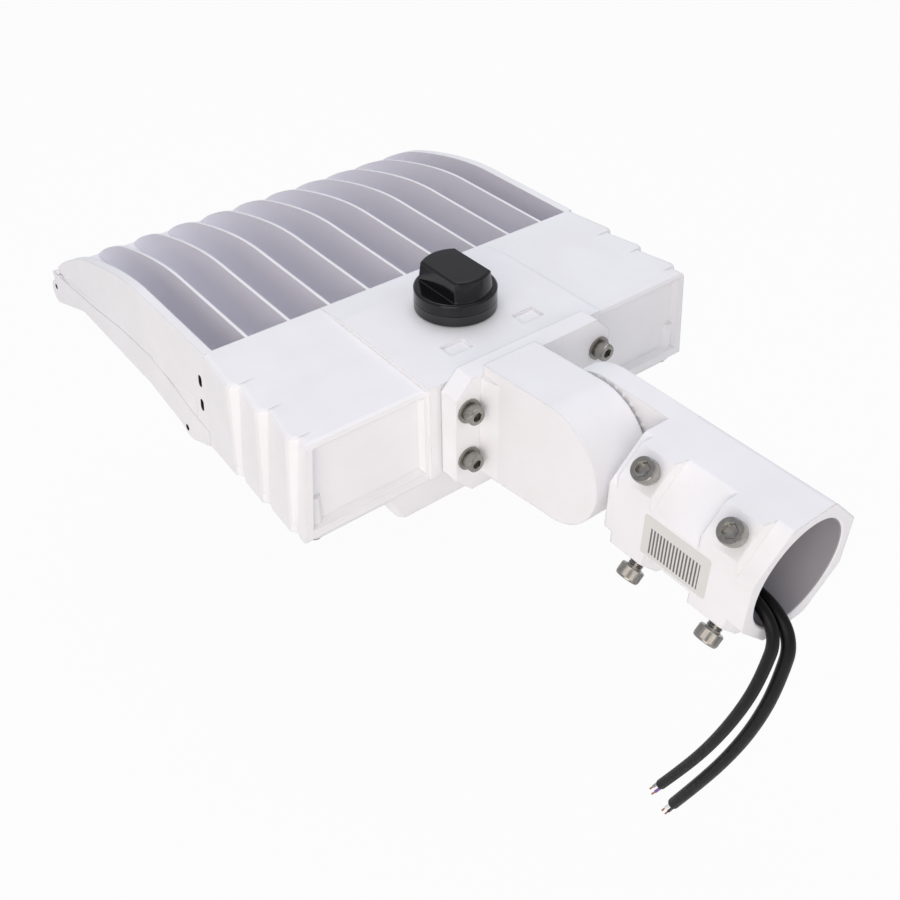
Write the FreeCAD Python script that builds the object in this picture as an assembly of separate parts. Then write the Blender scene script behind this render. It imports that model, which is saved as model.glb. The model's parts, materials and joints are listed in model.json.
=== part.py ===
"""Shoebox area light on a slip fitter: every separate piece as its own solid.

Frame, millimetres: the origin is the centre of the tenon socket's mouth. The tenon comes in
along +Y, the lamp head reaches away along +Y, +X is the lamp's width, +Z is up (away from
the lit side). The head is shown level, its tilt joint at zero.
"""
import FreeCAD
import Part
import math
import os

V = FreeCAD.Vector
AX = V(1, 0, 0)
AY = V(0, 1, 0)
AZ = V(0, 0, 1)

# ---- clearances shared by every fit -------------------------------------------------
RUN_GAP = 0.06          # radial gap of a part that turns or slides
SCREW_GAP = 0.10        # radial gap of a screw in its own hole
SMALL_SIDES = 8         # small screws and their holes are made with this many sides
HEAD_SIDES = 16
CREST_GAP = 0.50        # each serrated face stands this far off the joint plane

# ---- slip fitter --------------------------------------------------------------------
TUBE_HALF = 43.0        # half the width across the flats
TUBE_CORNER = 18.0      # where the chamfered corner meets the flat
TUBE_ROUND = 5.0
TUBE_LEN = 106.0
BORE_R = 36.0
END_WALL = 8.0          # left between the bore's end and the pivot
BORE_LEN = TUBE_LEN - END_WALL
BORE_LEAD_IN = 1.2
PIVOT_AHEAD = 50.0
KNUCKLE_Y = TUBE_LEN + PIVOT_AHEAD      # the pivot axis runs along X through here, at z = 0
KNUCKLE_R = TUBE_HALF
EAR_LAP = 10.0          # the ear's root reaches this far back into the tube
TOOTH_COUNT = 36
TOOTH_HIGH = 1.2
TOOTH_WIDE = 4.4
TOOTH_IN = 28.0
TOOTH_OUT = 42.0
BOLT_ROWS_Y = (21.0, 83.0)
BOLT_ANGLES = {"upper": 135.0, "lower": 225.0}
PAD_BACK = 8.0          # each set bolt's pad starts this far behind the bolt
PAD_LONG = 25.0
PAD_STANDS = 6.0        # its face, proud of the tube's chamfered corner
PAD_LEAN = 2.0          # its rear end leans this much
M10_R = 5.0
M10_HEAD_R = 7.8
M10_HEAD = 8.2
M10_KEY = 8.0           # across the flats of the key socket
M10_KEY_DEEP = 4.5
HEAD_STAND = 4.8        # underside of a set bolt's head, off its pad
BOLT_TIP = 1.5          # a set bolt's tip, proud of the bore's wall
CORNER_R = (TUBE_HALF + TUBE_CORNER) / math.sqrt(2.0)   # bore axis to the chamfered corner

# ---- pivot bolt ---------------------------------------------------------------------
PIVOT_R = 6.0
PIVOT_HEAD_R = 9.0
PIVOT_HEAD = 9.0
PIVOT_KEY = 10.0
PIVOT_KEY_DEEP = 5.5
WASHER_T = 2.0
WASHER_HOLE_GAP = 0.3
WASHER_EDGE_GAP = 0.8
COUNTERBORE_R = 12.5
COUNTERBORE_DEEP = 12.0
PIVOT_INTO_ARM = 36.0
DRILL_OVER = 1.5        # a tapped hole goes this much deeper than its screw

# ---- arm and its flange -------------------------------------------------------------
ARM_X = 45.0
FLANGE_GAP = 63.0       # from the pivot axis to the flange's rear face
FLANGE_T = 16.0
FLANGE_Y0 = KNUCKLE_Y + FLANGE_GAP
FLANGE_Y1 = FLANGE_Y0 + FLANGE_T
FLANGE_X = 68.0
FLANGE_Z0 = -61.0
FLANGE_Z1 = 33.0
FLANGE_CORNER = 13.0
ARM_END_TOP = 39.0
ARM_END_LOW = -52.0
ROOT_LONG = 16.0        # the arm's root flares out over this length
ROOT_OUT = (3.5, 9.0)
ROOT_IN_FROM = (4.0, 8.0)
GASKET_T = 2.0
GASKET_EDGE = 1.0
GASKET_LOW = 6.5        # its lower edge, up from the box's
PAD_Y = FLANGE_Y1 + GASKET_T    # face of the boss on the lamp body
FLANGE_BOLT_X = 58.0
FLANGE_BOLT_Z = (9.0, -31.0)
M8_R = 4.0
M8_HEAD_R = 6.5
M8_HEAD = 8.0
M8_KEY = 6.0
M8_KEY_DEEP = 4.0
M8_WASHER_R = 8.75
M8_WASHER_T = 1.6
M8_INTO_BODY = 11.0
M8_POST_R = 9.0
POST_OUT = 3.0          # its post, proud of the wall inside the box

# ---- lamp body ----------------------------------------------------------------------
BOX_LONG = 129.0
BOX_HIGH = 76.4
BOSS_OUT = 3.0          # the flange boss stands this far behind the box
BOSS_X = 76.0           # the same half width as the raised band that it carries on into
BOSS_LOW_IN = 2.0
BOX_Y0 = PAD_Y + BOSS_OUT
BOX_Y1 = BOX_Y0 + BOX_LONG
TOP_Z = 20.4
BOX_LOW = TOP_Z - BOX_HIGH
SIDE_X = 170.0          # half the head's width at its top edge
DRAFT = 0.095           # the side walls lean out this much per millimetre down
WALL = 4.0
TOP_ROUND = 3.6
# outline of a side wall: out from SIDE_X, and back from the box's front; three gills,
# each a swelling that falls away in a short step
GILLS = ((0.0, 0.0), (1.4, 16.0), (4.2, 40.0), (3.6, 43.5), (-1.8, 47.5), (-0.6, 56.0),
         (2.9, 75.5), (2.3, 79.0), (-2.9, 83.0), (-1.7, 92.0), (1.8, 111.5), (1.2, 115.0),
         (-3.6, 119.0), (-2.8, BOX_LONG))
GILL_FADE = 0.3         # share of the gills' swelling that is left at the box's lower edge
GILL_STEPS = (47.0, 82.5, 118.5)        # back from the box's front
CREASE_LONG = 27.0      # shallow line running in over the top from each step
CREASE_WIDE = 1.6
CREASE_DEEP = 0.8
SCALLOP_R = 6.0         # hollow at the foot of each step
SCALLOP_DEEP = 2.2
SCALLOP_HIGH = 9.0
BAND_X = BOSS_X
BAND_HIGH = 3.0
BAND_LEVEL = 4.0        # the band stays level this far past the control socket
PANEL_DEEP = 6.0
PANEL_IN = 7.0          # recessed panel's outer edge, in from SIDE_X
PANEL_TOP = 4.0
PANEL_LOW = 7.0
PANEL_BOSS_GAP = 2.0
PANEL_LEAN = 2.0        # its sides close in by this much down to its floor
POCKET_X = 32.0
POCKET_BACK = 25.0      # pocket's middle, from the box's rear
POCKET_W = 19.0
POCKET_L = 13.0
POCKET_DEEP = 2.4
SLOT_FRONT = 8.0        # drain slots of the outer wall, in front of the box
SLOT_DROPS = (26.0, 46.0)
SLOT_R = 2.4
SLOT_LONG = 4.6
SLOT_DEEP = 6.0
# hollow at each end of the side wall: ahead of the box and down from its top, at its mouth
# and at its point
SCOOPS = (((18.0, 53.5), (96.0, 49.0)), ((292.0, 63.5), (203.0, 55.5)))
SCOOP_R = (11.0, 5.0)
SCOOP_POINT_R = 0.5
SCOOP_DEEP = (4.6, 2.6)
PITCH = 34.0
FIN_COUNT = 9
FIN_T = 2.6
PLATE_DROP = 60.4       # from the fins' level top down to the heat plate
PLATE_T = 5.0
PLATE_Z1 = TOP_Z - PLATE_DROP
PLATE_Z0 = PLATE_Z1 - PLATE_T
PLATE_X = 168.0
# top edge of a fin: ahead of the box and down from its top; level, then over to the nose
ARCH = ((93.0, 0.0), (121.0, 1.0), (160.0, 7.2), (200.0, 17.1), (221.0, 23.8),
        (243.0, 33.4), (269.0, 47.4), (289.0, 61.9), (302.0, 74.4))
NOSE_T = 13.0           # how far the fins hang over in front of the plate
NOSE_BLUNT = 1.0
HEAD_Y1 = BOX_Y1 + ARCH[-1][0]
PLATE_Y1 = HEAD_Y1 - NOSE_T
OUTER_T = 4.0
INNER_T = 3.0
JOIN = 1.0              # bodies of one casting run this far into each other
# the parting line along the side: ahead of the box and down from its top
PARTING = ((0.0, 64.8), (27.0, 62.4), (63.0, 54.9), (97.0, 50.8), (151.0, 53.4),
           (198.0, 59.8), (271.0, 66.4), (302.0, 68.8))
PARTING_GAP = 0.5

# ---- twist-lock control socket and its cap -------------------------------------------
CONTROL_BACK = 67.0     # its axis, from the box's rear
CONTROL_Y = BOX_Y0 + CONTROL_BACK
SOCKET_R = 30.0
SOCKET_SEAL = 1.0
SOCKET_HIGH = 7.6
SOCKET_NECK_R = 19.0
SOCKET_NECK = 14.0
NECK_GAP = 0.5
CAP_GAP = 0.4
CAP_HIGH = 8.6
CAP_ROUND = 1.2
GRIP_HIGH = 15.0
GRIP_R = (27.0, 25.2)   # at its foot and at its top
GRIP_HALF = (17.0, 15.6)
GRIP_EDGE = 1.2
SOCKET_Z = TOP_Z + BAND_HIGH + SOCKET_SEAL
CAP_Z0 = SOCKET_Z + SOCKET_HIGH + CAP_GAP
CAP_TOP = CAP_Z0 + CAP_HIGH
BLADE_COUNT = 3
BLADE_R = 9.0
BLADE_T = 1.6
BLADE_W = 6.0
BLADE_LONG = 11.0
BLADE_GAP = 0.9
BLADE_SLOT = 12.6       # depth of the curved slots
BLADE_AT = 12.0         # angle of the first blade with the cap shut
TWIST = 30.0            # the cap turns this far to come off

# ---- optical side -------------------------------------------------------------------
SEAL_T = 3.5
SEAL_WIDE = 8.0
LENS_T = 3.0
LENS_X = 156.0
LENS_IN = (19.0, 29.0)  # from the box's front and from the fins' noses
LENS_Y = (BOX_Y1 + LENS_IN[0], HEAD_Y1 - LENS_IN[1])
RIM_LAP = 10.0          # the rim covers this much of the lens plate's edge
RIM_T = 3.5
RIM_X = 173.0
RIM_IN = (3.0, 16.0)
RIM_Y = (BOX_Y1 + RIM_IN[0], HEAD_Y1 - RIM_IN[1])
LENS_EDGE_GAP = 1.0
LENS_TOP = PLATE_Z0 - SEAL_T
RIM_TOP = LENS_TOP - LENS_T
RIM_LOW = RIM_TOP - RIM_T
BOARD_T = 1.6
BOARD_IN = (14.0, 12.0)
CHIP = 4.0
CHIP_T = 1.0
CHIP_COLS = 10
CHIP_ROWS = 8
CHIP_STEP = 27.0
SKIRT_LOW = RIM_LOW - 2.5       # lower edge of the skirt between its lugs
# middle of each lug: ahead of the box and down from its top; the front one stands out
# past the fins' noses
LUGS = ((38.0, 80.0), (299.0, 88.5))
LUG_R = (9.0, 10.5)
LUG_REACH = 20.0        # room left for the front lugs ahead of the fins' noses
LUG_RAMP = (62.0, 66.0)         # the skirt's edge runs down to each lug over this length
LUG_LOW = TOP_Z - LUGS[1][1] - LUG_R[1]
LUG_SIDES = 16
LUG_HOLE_R = 2.5
LUG_HOLE_DROP = 83.5    # both holes of a side are level
SKIRT_T = OUTER_T - 0.15
FRAME_SCREW_R = 2.0
FRAME_HEAD_R = 3.6
FRAME_HEAD = 2.5
FRAME_KEY = 2.5
FRAME_KEY_DEEP = 1.4
FRAME_SCREW_X = 119.0
FRAME_SCREW_IN = 5.5    # side screws, outside the lens plate's edge
FRAME_SCREW_EDGE = (7.5, 6.5)   # screws in from the rim's rear and front edges
SIDE_SCREW_STEP = 95.0
PASS_GAP = 0.3          # radial gap of a screw where it only passes

# ---- driver compartment ---------------------------------------------------------------
CAVITY_IN = 10.0        # in from SIDE_X
CAVITY_END = 10.0
ROOF = 5.0
CAVITY_X = SIDE_X - CAVITY_IN
CAVITY_Y = (BOX_Y0 + CAVITY_END, BOX_Y1 - CAVITY_END)
CAVITY_TOP = TOP_Z - ROOF
COVER_SEAL = 1.5
COVER_SEAL_IN = (4.0, 1.0, 9.0)
COVER_T = 3.0
COVER_OUT = 1.0         # the cover's sides, out from SIDE_X
COVER_IN = 3.0          # its ends, in from the box's
COVER_X = SIDE_X + COVER_OUT
COVER_Y = (BOX_Y0 + COVER_IN, BOX_Y1 - COVER_IN)
COVER_CORNER = 7.0
COVER_TOP = BOX_LOW - COVER_SEAL
COVER_LOW = COVER_TOP - COVER_T
POD_HIGH = 23.0
POD_LOW = COVER_LOW - POD_HIGH
POD_TOP_X = 112.0
POD_LOW_X = 99.0
POD_LONG = 95.0
POD_CORNER = 4.0
POD_FRONT_LEAN = 12.0
POD_REAR_LEAN = 1.0
POD_WALL = 2.5
COVER_SCREW_IN = 7.0
COVER_SCREW_X = (COVER_X - COVER_SCREW_IN, 55.0)
COVER_SCREW_R = 2.0
COVER_SCREW_LONG = 14.0
COVER_HEAD_R = 4.0
COVER_HEAD = 3.0
COVER_KEY = 3.0
COVER_KEY_DEEP = 1.6
COVER_POST_R = 6.5
COVER_POST = 30.0
VENT_X = -60.0
VENT_BACK = 60.0
VENT_Y = BOX_Y0 + VENT_BACK
VENT_R = 9.0
VENT_HIGH = 4.0
VENT_EDGE = 1.2
VENT_NECK_R = 6.0
DRIVER_X = (-125.0, 95.0)
DRIVER_BACK = 44.0
DRIVER_FRONT = 9.0      # from the driver to the compartment's front wall
DRIVER_W = BOX_LONG - DRIVER_BACK - CAVITY_END - DRIVER_FRONT
DRIVER_H = 36.0
DRIVER_ROUND = 3.0
DRIVER_EAR = 14.0
DRIVER_EAR_IN = 16.0
DRIVER_EAR_T = 3.0
DRIVER_HOLE_R = 2.5
NECK_CLEAR = 3.0
SURGE_X = (112.0, 150.0)
SURGE_BACK = 22.0
SURGE_W = 30.0
SURGE_H = 30.0
TERMINAL_X = -150.0
TERMINAL_BACK = 18.0
TERMINAL_W = 18.0
TERMINAL_BASE = 8.0
TERMINAL_H = 17.0
TERMINAL_COUNT = 5
TERMINAL_STEP = 10.5
TERMINAL_PIECE = 8.0
TERMINAL_EDGE = 2.0
TERMINAL_HOLE_R = 2.2

# ---- leads ----------------------------------------------------------------------------
BUSH_X = 5.2
BUSH_Z = -8.0
BUSH_R = 11.7
BUSH_LIP_R = 13.5
BUSH_LIP = 4.0
BUSH_DEEP = 6.0
SUPPLY_D = 8.4
DIMMING_D = 7.4
LEAD_Y = BORE_LEN - BUSH_LIP    # the leads leave the bushing's face here
SUPPLY_ROUTE = ((10.0, LEAD_Y, -8.0), (10.0, 66.0, -10.0), (-6.0, 39.0, -21.0),
                (-12.0, -14.0, -24.5), (-12.0, -13.0, -79.0), (-12.0, -7.0, -122.0),
                (-11.0, 4.0, -168.0), (-10.0, 20.0, -220.0), (-9.0, 37.0, -270.0))
DIMMING_ROUTE = ((0.5, LEAD_Y, -8.0), (0.3, 68.0, -9.0), (-15.0, 39.0, -16.0),
                 (-21.2, -9.5, -19.5), (-21.2, -6.5, -71.0), (-21.0, 1.0, -112.0),
                 (-20.0, 14.0, -160.0), (-19.0, 29.0, -204.0), (-18.0, 45.0, -246.0))
CORE_D = 2.2
CORE_LONG = 22.0
CORE_STEP = 3.0         # each core is cut this much shorter than the one before


# ---- small makers -----------------------------------------------------------------------
def block(x0, x1, y0, y1, z0, z1):
    return Part.makeBox(x1 - x0, y1 - y0, z1 - z0, V(x0, y0, z0))


def rod(x, y, z, radius, length, axis):
    return Part.makeCylinder(radius, length, V(x, y, z), axis)


def prism(points, vector):
    """Straight prism of a closed outline of 3-D points."""
    corners = [V(*p) for p in points]
    corners.append(corners[0])
    return Part.Face(Part.makePolygon(corners)).extrude(vector)


def side_prism(profile, x0, x1):
    """Outline in (y, z), pushed from x0 to x1."""
    return prism([(x0, y, z) for y, z in profile], V(x1 - x0, 0, 0))


def end_prism(profile, y0, y1):
    """Outline in (x, z), pushed from y0 to y1."""
    return prism([(x, y0, z) for x, z in profile], V(0, y1 - y0, 0))


def flat_prism(profile, z0, z1):
    """Outline in (x, y), pushed from z0 to z1."""
    return prism([(x, y, z0) for x, y in profile], V(0, 0, z1 - z0))


def fuse(shapes):
    body = shapes[0].fuse(shapes[1:]) if len(shapes) > 1 else shapes[0]
    return body.removeSplitter()


def cut(body, tools):
    return body.cut(tools)


def hexagon(centre, across, depth, axis):
    """Key socket tool: a hexagonal prism starting at centre, going along axis."""
    face = Part.makePolygon([V(across / math.sqrt(3.0) * math.cos(math.radians(60 * k)),
                               across / math.sqrt(3.0) * math.sin(math.radians(60 * k)), 0)
                             for k in range(7)])
    tool = Part.Face(face).extrude(V(0, 0, depth))
    tool.Placement = FreeCAD.Placement(centre, FreeCAD.Rotation(AZ, axis))
    return tool


def socket_screw(base, axis, shank_r, shank, head_r, head, key, key_deep):
    """Screw with a round head: base is the underside of the head, axis points to the head."""
    top = base + axis * head
    body = Part.makeCylinder(head_r, head, base, axis)
    edges = [e for e in body.Edges if abs(e.CenterOfMass.sub(top).Length) < 0.01]
    body = body.makeChamfer(head * 0.08, edges)
    body = body.fuse(Part.makeCylinder(shank_r, shank, base, axis * -1.0))
    return body.cut(hexagon(top, key, key_deep, axis * -1.0)).removeSplitter()


def ring_teeth(x_root, height):
    """Radial teeth on the plane x = x_root, pointing along the sign of height."""
    teeth = []
    half = TOOTH_WIDE / 2.0
    for k in range(TOOTH_COUNT):
        tooth = prism([(x_root, -half, TOOTH_IN), (x_root, half, TOOTH_IN),
                       (x_root + height, 0.0, TOOTH_IN)], V(0, 0, TOOTH_OUT - TOOTH_IN))
        tooth.rotate(V(0, 0, 0), AX, 360.0 * k / TOOTH_COUNT)
        tooth.translate(V(0, KNUCKLE_Y, 0))
        teeth.append(tooth)
    return teeth


def few_sided(x, y, z, radius, length, axis, sides):
    """A rod with few flat sides, for small screws and the holes they sit in."""
    step = 2.0 * math.pi / sides
    ring = [V(radius * math.cos((k + 0.5) * step), radius * math.sin((k + 0.5) * step), 0)
            for k in range(sides)]
    ring.append(ring[0])
    body = Part.Face(Part.makePolygon(ring)).extrude(V(0, 0, length))
    body.Placement = FreeCAD.Placement(V(x, y, z), FreeCAD.Rotation(AZ, axis))
    return body


def small_screw(x, y, seat, shank_r, shank, head_r, head, key, key_deep):
    """Plain screw that goes up from its seat, with its head below."""
    down = AZ * -1.0
    body = few_sided(x, y, seat, head_r, head, down, HEAD_SIDES)
    body = body.fuse(few_sided(x, y, seat, shank_r, shank, AZ, SMALL_SIDES))
    return body.cut(hexagon(V(x, y, seat - head), key, key_deep, AZ))


def octagon(half, corner):
    return [(-corner, half), (corner, half), (half, corner), (half, -corner),
            (corner, -half), (-corner, -half), (-half, -corner), (-half, corner)]


def radial(angle, radius, y):
    """A point beside the bore axis, at an angle from +X towards +Z."""
    a = math.radians(angle)
    return V(radius * math.cos(a), y, radius * math.sin(a))


# ---- slip fitter pieces -----------------------------------------------------------------
def pad_ring(corner, y):
    """Left half of the tube's outline, with its two corners filled out to a bolt's pad."""
    points = [(0, TUBE_HALF), (-corner, TUBE_HALF), (-TUBE_HALF, corner),
              (-TUBE_HALF, -corner), (-corner, -TUBE_HALF), (0, -TUBE_HALF), (0, TUBE_HALF)]
    return Part.makePolygon([V(x, y, z) for x, z in points])


def bolt_pad(bolt_y):
    """Thicker wall under an upper and a lower set bolt; its rear end leans forward."""
    full = TUBE_CORNER + PAD_STANDS * math.sqrt(2.0)
    rear = bolt_y - PAD_BACK
    front = min(rear + PAD_LONG, TUBE_LEN)
    return Part.makeLoft([pad_ring(TUBE_CORNER, rear - PAD_LEAN), pad_ring(full, rear),
                          pad_ring(full, front)], True, True)


def slip_fitter():
    tube = end_prism(octagon(TUBE_HALF, TUBE_CORNER), 0, TUBE_LEN)
    long_edges = [e for e in tube.Edges if abs(e.Length - TUBE_LEN) < 0.01]
    tube = tube.makeFillet(TUBE_ROUND, long_edges)
    root_x = CREST_GAP + TOOTH_HIGH
    ear_side = TUBE_HALF
    ear = end_prism([(root_x, TUBE_HALF), (TUBE_CORNER, TUBE_HALF), (ear_side, TUBE_CORNER),
                     (ear_side, -TUBE_CORNER), (TUBE_CORNER, -TUBE_HALF),
                     (root_x, -TUBE_HALF)], TUBE_LEN - EAR_LAP, KNUCKLE_Y)
    disc = rod(root_x, KNUCKLE_Y, 0, KNUCKLE_R, TUBE_CORNER - root_x, AX)
    cone = Part.makeCone(KNUCKLE_R, TUBE_CORNER, ear_side - TUBE_CORNER,
                         V(TUBE_CORNER, KNUCKLE_Y, 0), AX)
    body = fuse([tube, ear, disc, cone] + [bolt_pad(y) for y in BOLT_ROWS_Y])
    tools = [rod(0, -JOIN, 0, BORE_R, BORE_LEN + JOIN, AY)]
    tools.append(Part.makeCone(BORE_R + BORE_LEAD_IN + JOIN, BORE_R, BORE_LEAD_IN + JOIN,
                               V(0, -JOIN, 0), AY))
    for angle in BOLT_ANGLES.values():
        a = math.radians(angle)
        out = V(math.cos(a), 0, math.sin(a))
        for y in BOLT_ROWS_Y:
            tools.append(Part.makeCylinder(M10_R + RUN_GAP, CORNER_R,
                                           radial(angle, BORE_R - M10_R, y), out))
    tools.append(rod(BUSH_X, BORE_LEN - JOIN, BUSH_Z, BUSH_R, BUSH_DEEP + JOIN, AY))
    tools.append(rod(0, KNUCKLE_Y, 0, PIVOT_R + RUN_GAP, TUBE_HALF + JOIN, AX))
    tools.append(rod(ear_side - COUNTERBORE_DEEP, KNUCKLE_Y, 0, COUNTERBORE_R,
                     COUNTERBORE_DEEP + JOIN, AX))
    body = cut(body, tools)
    body = body.fuse(ring_teeth(root_x, -TOOTH_HIGH))
    return body.removeSplitter()


def pivot_bolt():
    seat = TUBE_HALF - COUNTERBORE_DEEP + WASHER_T
    return socket_screw(V(seat, KNUCKLE_Y, 0), AX, PIVOT_R, seat + PIVOT_INTO_ARM,
                        PIVOT_HEAD_R, PIVOT_HEAD, PIVOT_KEY, PIVOT_KEY_DEEP)


def pivot_washer():
    seat = TUBE_HALF - COUNTERBORE_DEEP
    ring = rod(seat, KNUCKLE_Y, 0, COUNTERBORE_R - WASHER_EDGE_GAP, WASHER_T, AX)
    return ring.cut(rod(seat, KNUCKLE_Y, 0, PIVOT_R + WASHER_HOLE_GAP, WASHER_T, AX))


def tenon_bolt(angle, y):
    a = math.radians(angle)
    out = V(math.cos(a), 0, math.sin(a))
    seat = CORNER_R + PAD_STANDS + HEAD_STAND
    return socket_screw(radial(angle, seat, y), out, M10_R, seat - BORE_R + BOLT_TIP,
                        M10_HEAD_R, M10_HEAD, M10_KEY, M10_KEY_DEEP)


def lead_bushing():
    face = BORE_LEN - BUSH_LIP
    lip = rod(BUSH_X, face, BUSH_Z, BUSH_LIP_R, BUSH_LIP, AY)
    plug = rod(BUSH_X, BORE_LEN, BUSH_Z, BUSH_R, BUSH_DEEP, AY)
    return fuse([lip, plug])


# ---- leads --------------------------------------------------------------------------------
def rounded_path(route):
    """Straight runs joined by tangent arcs; returns the edges, the length and the radii."""
    pts = [V(*p) for p in route]
    edges = []
    radii = []
    start = pts[0]
    for k in range(1, len(pts) - 1):
        before = pts[k] - pts[k - 1]
        after = pts[k + 1] - pts[k]
        run = min(before.Length, after.Length)
        turn = before.getAngle(after)
        back = 0.45 * run
        radius = back / math.tan(turn / 2.0)
        u = V(before)
        u.normalize()
        w = V(after)
        w.normalize()
        a = pts[k] - u * back
        b = pts[k] + w * back
        inward = w - u
        inward.normalize()
        middle = pts[k] + inward * (radius * (1.0 / math.cos(turn / 2.0) - 1.0))
        edges.append(Part.makeLine(start, a))
        edges.append(Part.Arc(a, middle, b).toShape())
        radii.append(radius)
        start = b
    edges.append(Part.makeLine(start, pts[-1]))
    return edges, sum(e.Length for e in edges), radii


def lead(route, diameter, name):
    edges, length, radii = rounded_path(route)
    spine = Part.Wire(edges)
    along = V(*route[1]) - V(*route[0])
    ring = Part.Wire(Part.makeCircle(diameter / 2.0, V(*route[0]), along))
    tube = spine.makePipeShell([ring], True, True)
    expected = math.pi * diameter * diameter / 4.0 * length
    print("%s length %.1f volume %.1f expected %.1f smallest radius %.1f"
          % (name, length, tube.Volume, expected, min(radii)))
    return tube


def core_ends(route, diameter, count):
    """Bared cores standing out of a lead's cut end."""
    end = V(*route[-1])
    along = end - V(*route[-2])
    along.normalize()
    side = along.cross(AX)
    side.normalize()
    other = along.cross(side)
    pitch_r = diameter / 4.0
    cores = []
    for k in range(count):
        a = 2.0 * math.pi * k / count
        foot = end + side * (pitch_r * math.cos(a)) + other * (pitch_r * math.sin(a))
        cores.append(Part.makeCylinder(CORE_D / 2.0, CORE_LONG - CORE_STEP * k, foot, along))
    return Part.makeCompound(cores)


# ---- arm ------------------------------------------------------------------------------------
def arm():
    root_x = -(CREST_GAP + TOOTH_HIGH)
    disc = rod(-ARM_X, KNUCKLE_Y, 0, KNUCKLE_R, ARM_X + root_x, AX)
    end = FLANGE_Y0 + JOIN
    side = [(KNUCKLE_Y, KNUCKLE_R), (FLANGE_Y0, ARM_END_TOP), (end, ARM_END_TOP),
            (end, ARM_END_LOW), (FLANGE_Y0, ARM_END_LOW), (KNUCKLE_Y, -KNUCKLE_R)]
    web = side_prism(side, -ARM_X, root_x)
    root = flat_prism([(-ARM_X - ROOT_OUT[0], end), (-ARM_X, end - ROOT_LONG),
                       (root_x, end - ROOT_LONG), (root_x + ROOT_OUT[1], end)],
                      ARM_END_LOW + ROOT_IN_FROM[0], ARM_END_TOP - ROOT_IN_FROM[1])
    c = FLANGE_CORNER
    flange = end_prism([(-FLANGE_X, FLANGE_Z1 - c), (-FLANGE_X + c, FLANGE_Z1),
                        (FLANGE_X - c, FLANGE_Z1), (FLANGE_X, FLANGE_Z1 - c),
                        (FLANGE_X, FLANGE_Z0 + c), (FLANGE_X - c, FLANGE_Z0),
                        (-FLANGE_X + c, FLANGE_Z0), (-FLANGE_X, FLANGE_Z0 + c)],
                       FLANGE_Y0, FLANGE_Y1)
    body = fuse([disc, web, root, flange])
    tools = [rod(0, KNUCKLE_Y, 0, PIVOT_R + RUN_GAP, PIVOT_INTO_ARM + DRILL_OVER, AX * -1.0)]
    for sx in (-1, 1):
        for z in FLANGE_BOLT_Z:
            tools.append(rod(sx * FLANGE_BOLT_X, FLANGE_Y0, z, M8_R + SCREW_GAP,
                             FLANGE_T, AY))
    body = cut(body, tools)
    return body.fuse(ring_teeth(root_x, TOOTH_HIGH)).removeSplitter()


def flange_gasket():
    sheet = block(-FLANGE_X + GASKET_EDGE, FLANGE_X - GASKET_EDGE, FLANGE_Y1, PAD_Y,
                  BOX_LOW + GASKET_LOW, TOP_Z - GASKET_EDGE)
    holes = [rod(sx * FLANGE_BOLT_X, FLANGE_Y1, z, M8_R + PASS_GAP, GASKET_T, AY)
             for sx in (-1, 1) for z in FLANGE_BOLT_Z]
    return sheet.cut(holes)


def flange_bolts():
    seat = FLANGE_Y0 - M8_WASHER_T
    shank = PAD_Y - seat + M8_INTO_BODY
    screws = [socket_screw(V(sx * FLANGE_BOLT_X, seat, z), AY * -1.0, M8_R, shank,
                           M8_HEAD_R, M8_HEAD, M8_KEY, M8_KEY_DEEP)
              for sx in (-1, 1) for z in FLANGE_BOLT_Z]
    return Part.makeCompound(screws)


def flange_washers():
    rings = []
    for sx in (-1, 1):
        for z in FLANGE_BOLT_Z:
            seat = FLANGE_Y0 - M8_WASHER_T
            ring = rod(sx * FLANGE_BOLT_X, seat, z, M8_WASHER_R, M8_WASHER_T, AY)
            rings.append(ring.cut(few_sided(sx * FLANGE_BOLT_X, seat, z, M8_R + 2.0 * PASS_GAP,
                                            M8_WASHER_T, AY, HEAD_SIDES)))
    return Part.makeCompound(rings)


# ---- lamp body --------------------------------------------------------------------------------
def gill_wire(z, swell, inset):
    """The driver box's outline at height z: drafted walls with a share of the gills."""
    wall = SIDE_X + (TOP_Z - z) * DRAFT - inset
    right = [(wall + out * swell, BOX_Y1 - back) for out, back in GILLS]
    right[-1] = (right[-1][0], BOX_Y0 + inset)
    left = [(-w, y) for w, y in reversed(right)]
    corners = [V(x, y, z) for x, y in right + left]
    corners.append(corners[0])
    return Part.makePolygon(corners)


def driver_box():
    """Lofted casting: drafted walls, and two bevels that round the top edge."""
    bevel = TOP_ROUND * 0.3
    return Part.makeLoft([gill_wire(BOX_LOW, GILL_FADE, 0.0),
                          gill_wire(TOP_Z - TOP_ROUND, 1.0, 0.0),
                          gill_wire(TOP_Z - bevel, 1.0, bevel),
                          gill_wire(TOP_Z, 1.0, TOP_ROUND)], True, True)


def gill_marks(side):
    """At each gill's step, a crease that runs in over the top and a hollow at the foot."""
    marks = []
    foot = SIDE_X + BOX_HIGH * DRAFT
    for back in GILL_STEPS:
        y = BOX_Y1 - back
        edge = SIDE_X - TOP_ROUND
        crease = end_prism([(side * (edge + JOIN), TOP_Z + JOIN), (side * (edge + JOIN),
                            TOP_Z - CREASE_DEEP), (side * (edge - CREASE_LONG), TOP_Z + JOIN)],
                           y - CREASE_WIDE / 2.0, y + CREASE_WIDE / 2.0)
        marks.append(crease)
        marks.append(few_sided(side * (foot + SCALLOP_R - SCALLOP_DEEP), y, BOX_LOW - JOIN,
                               SCALLOP_R, SCALLOP_HIGH + JOIN, AZ, HEAD_SIDES))
    return marks


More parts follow.
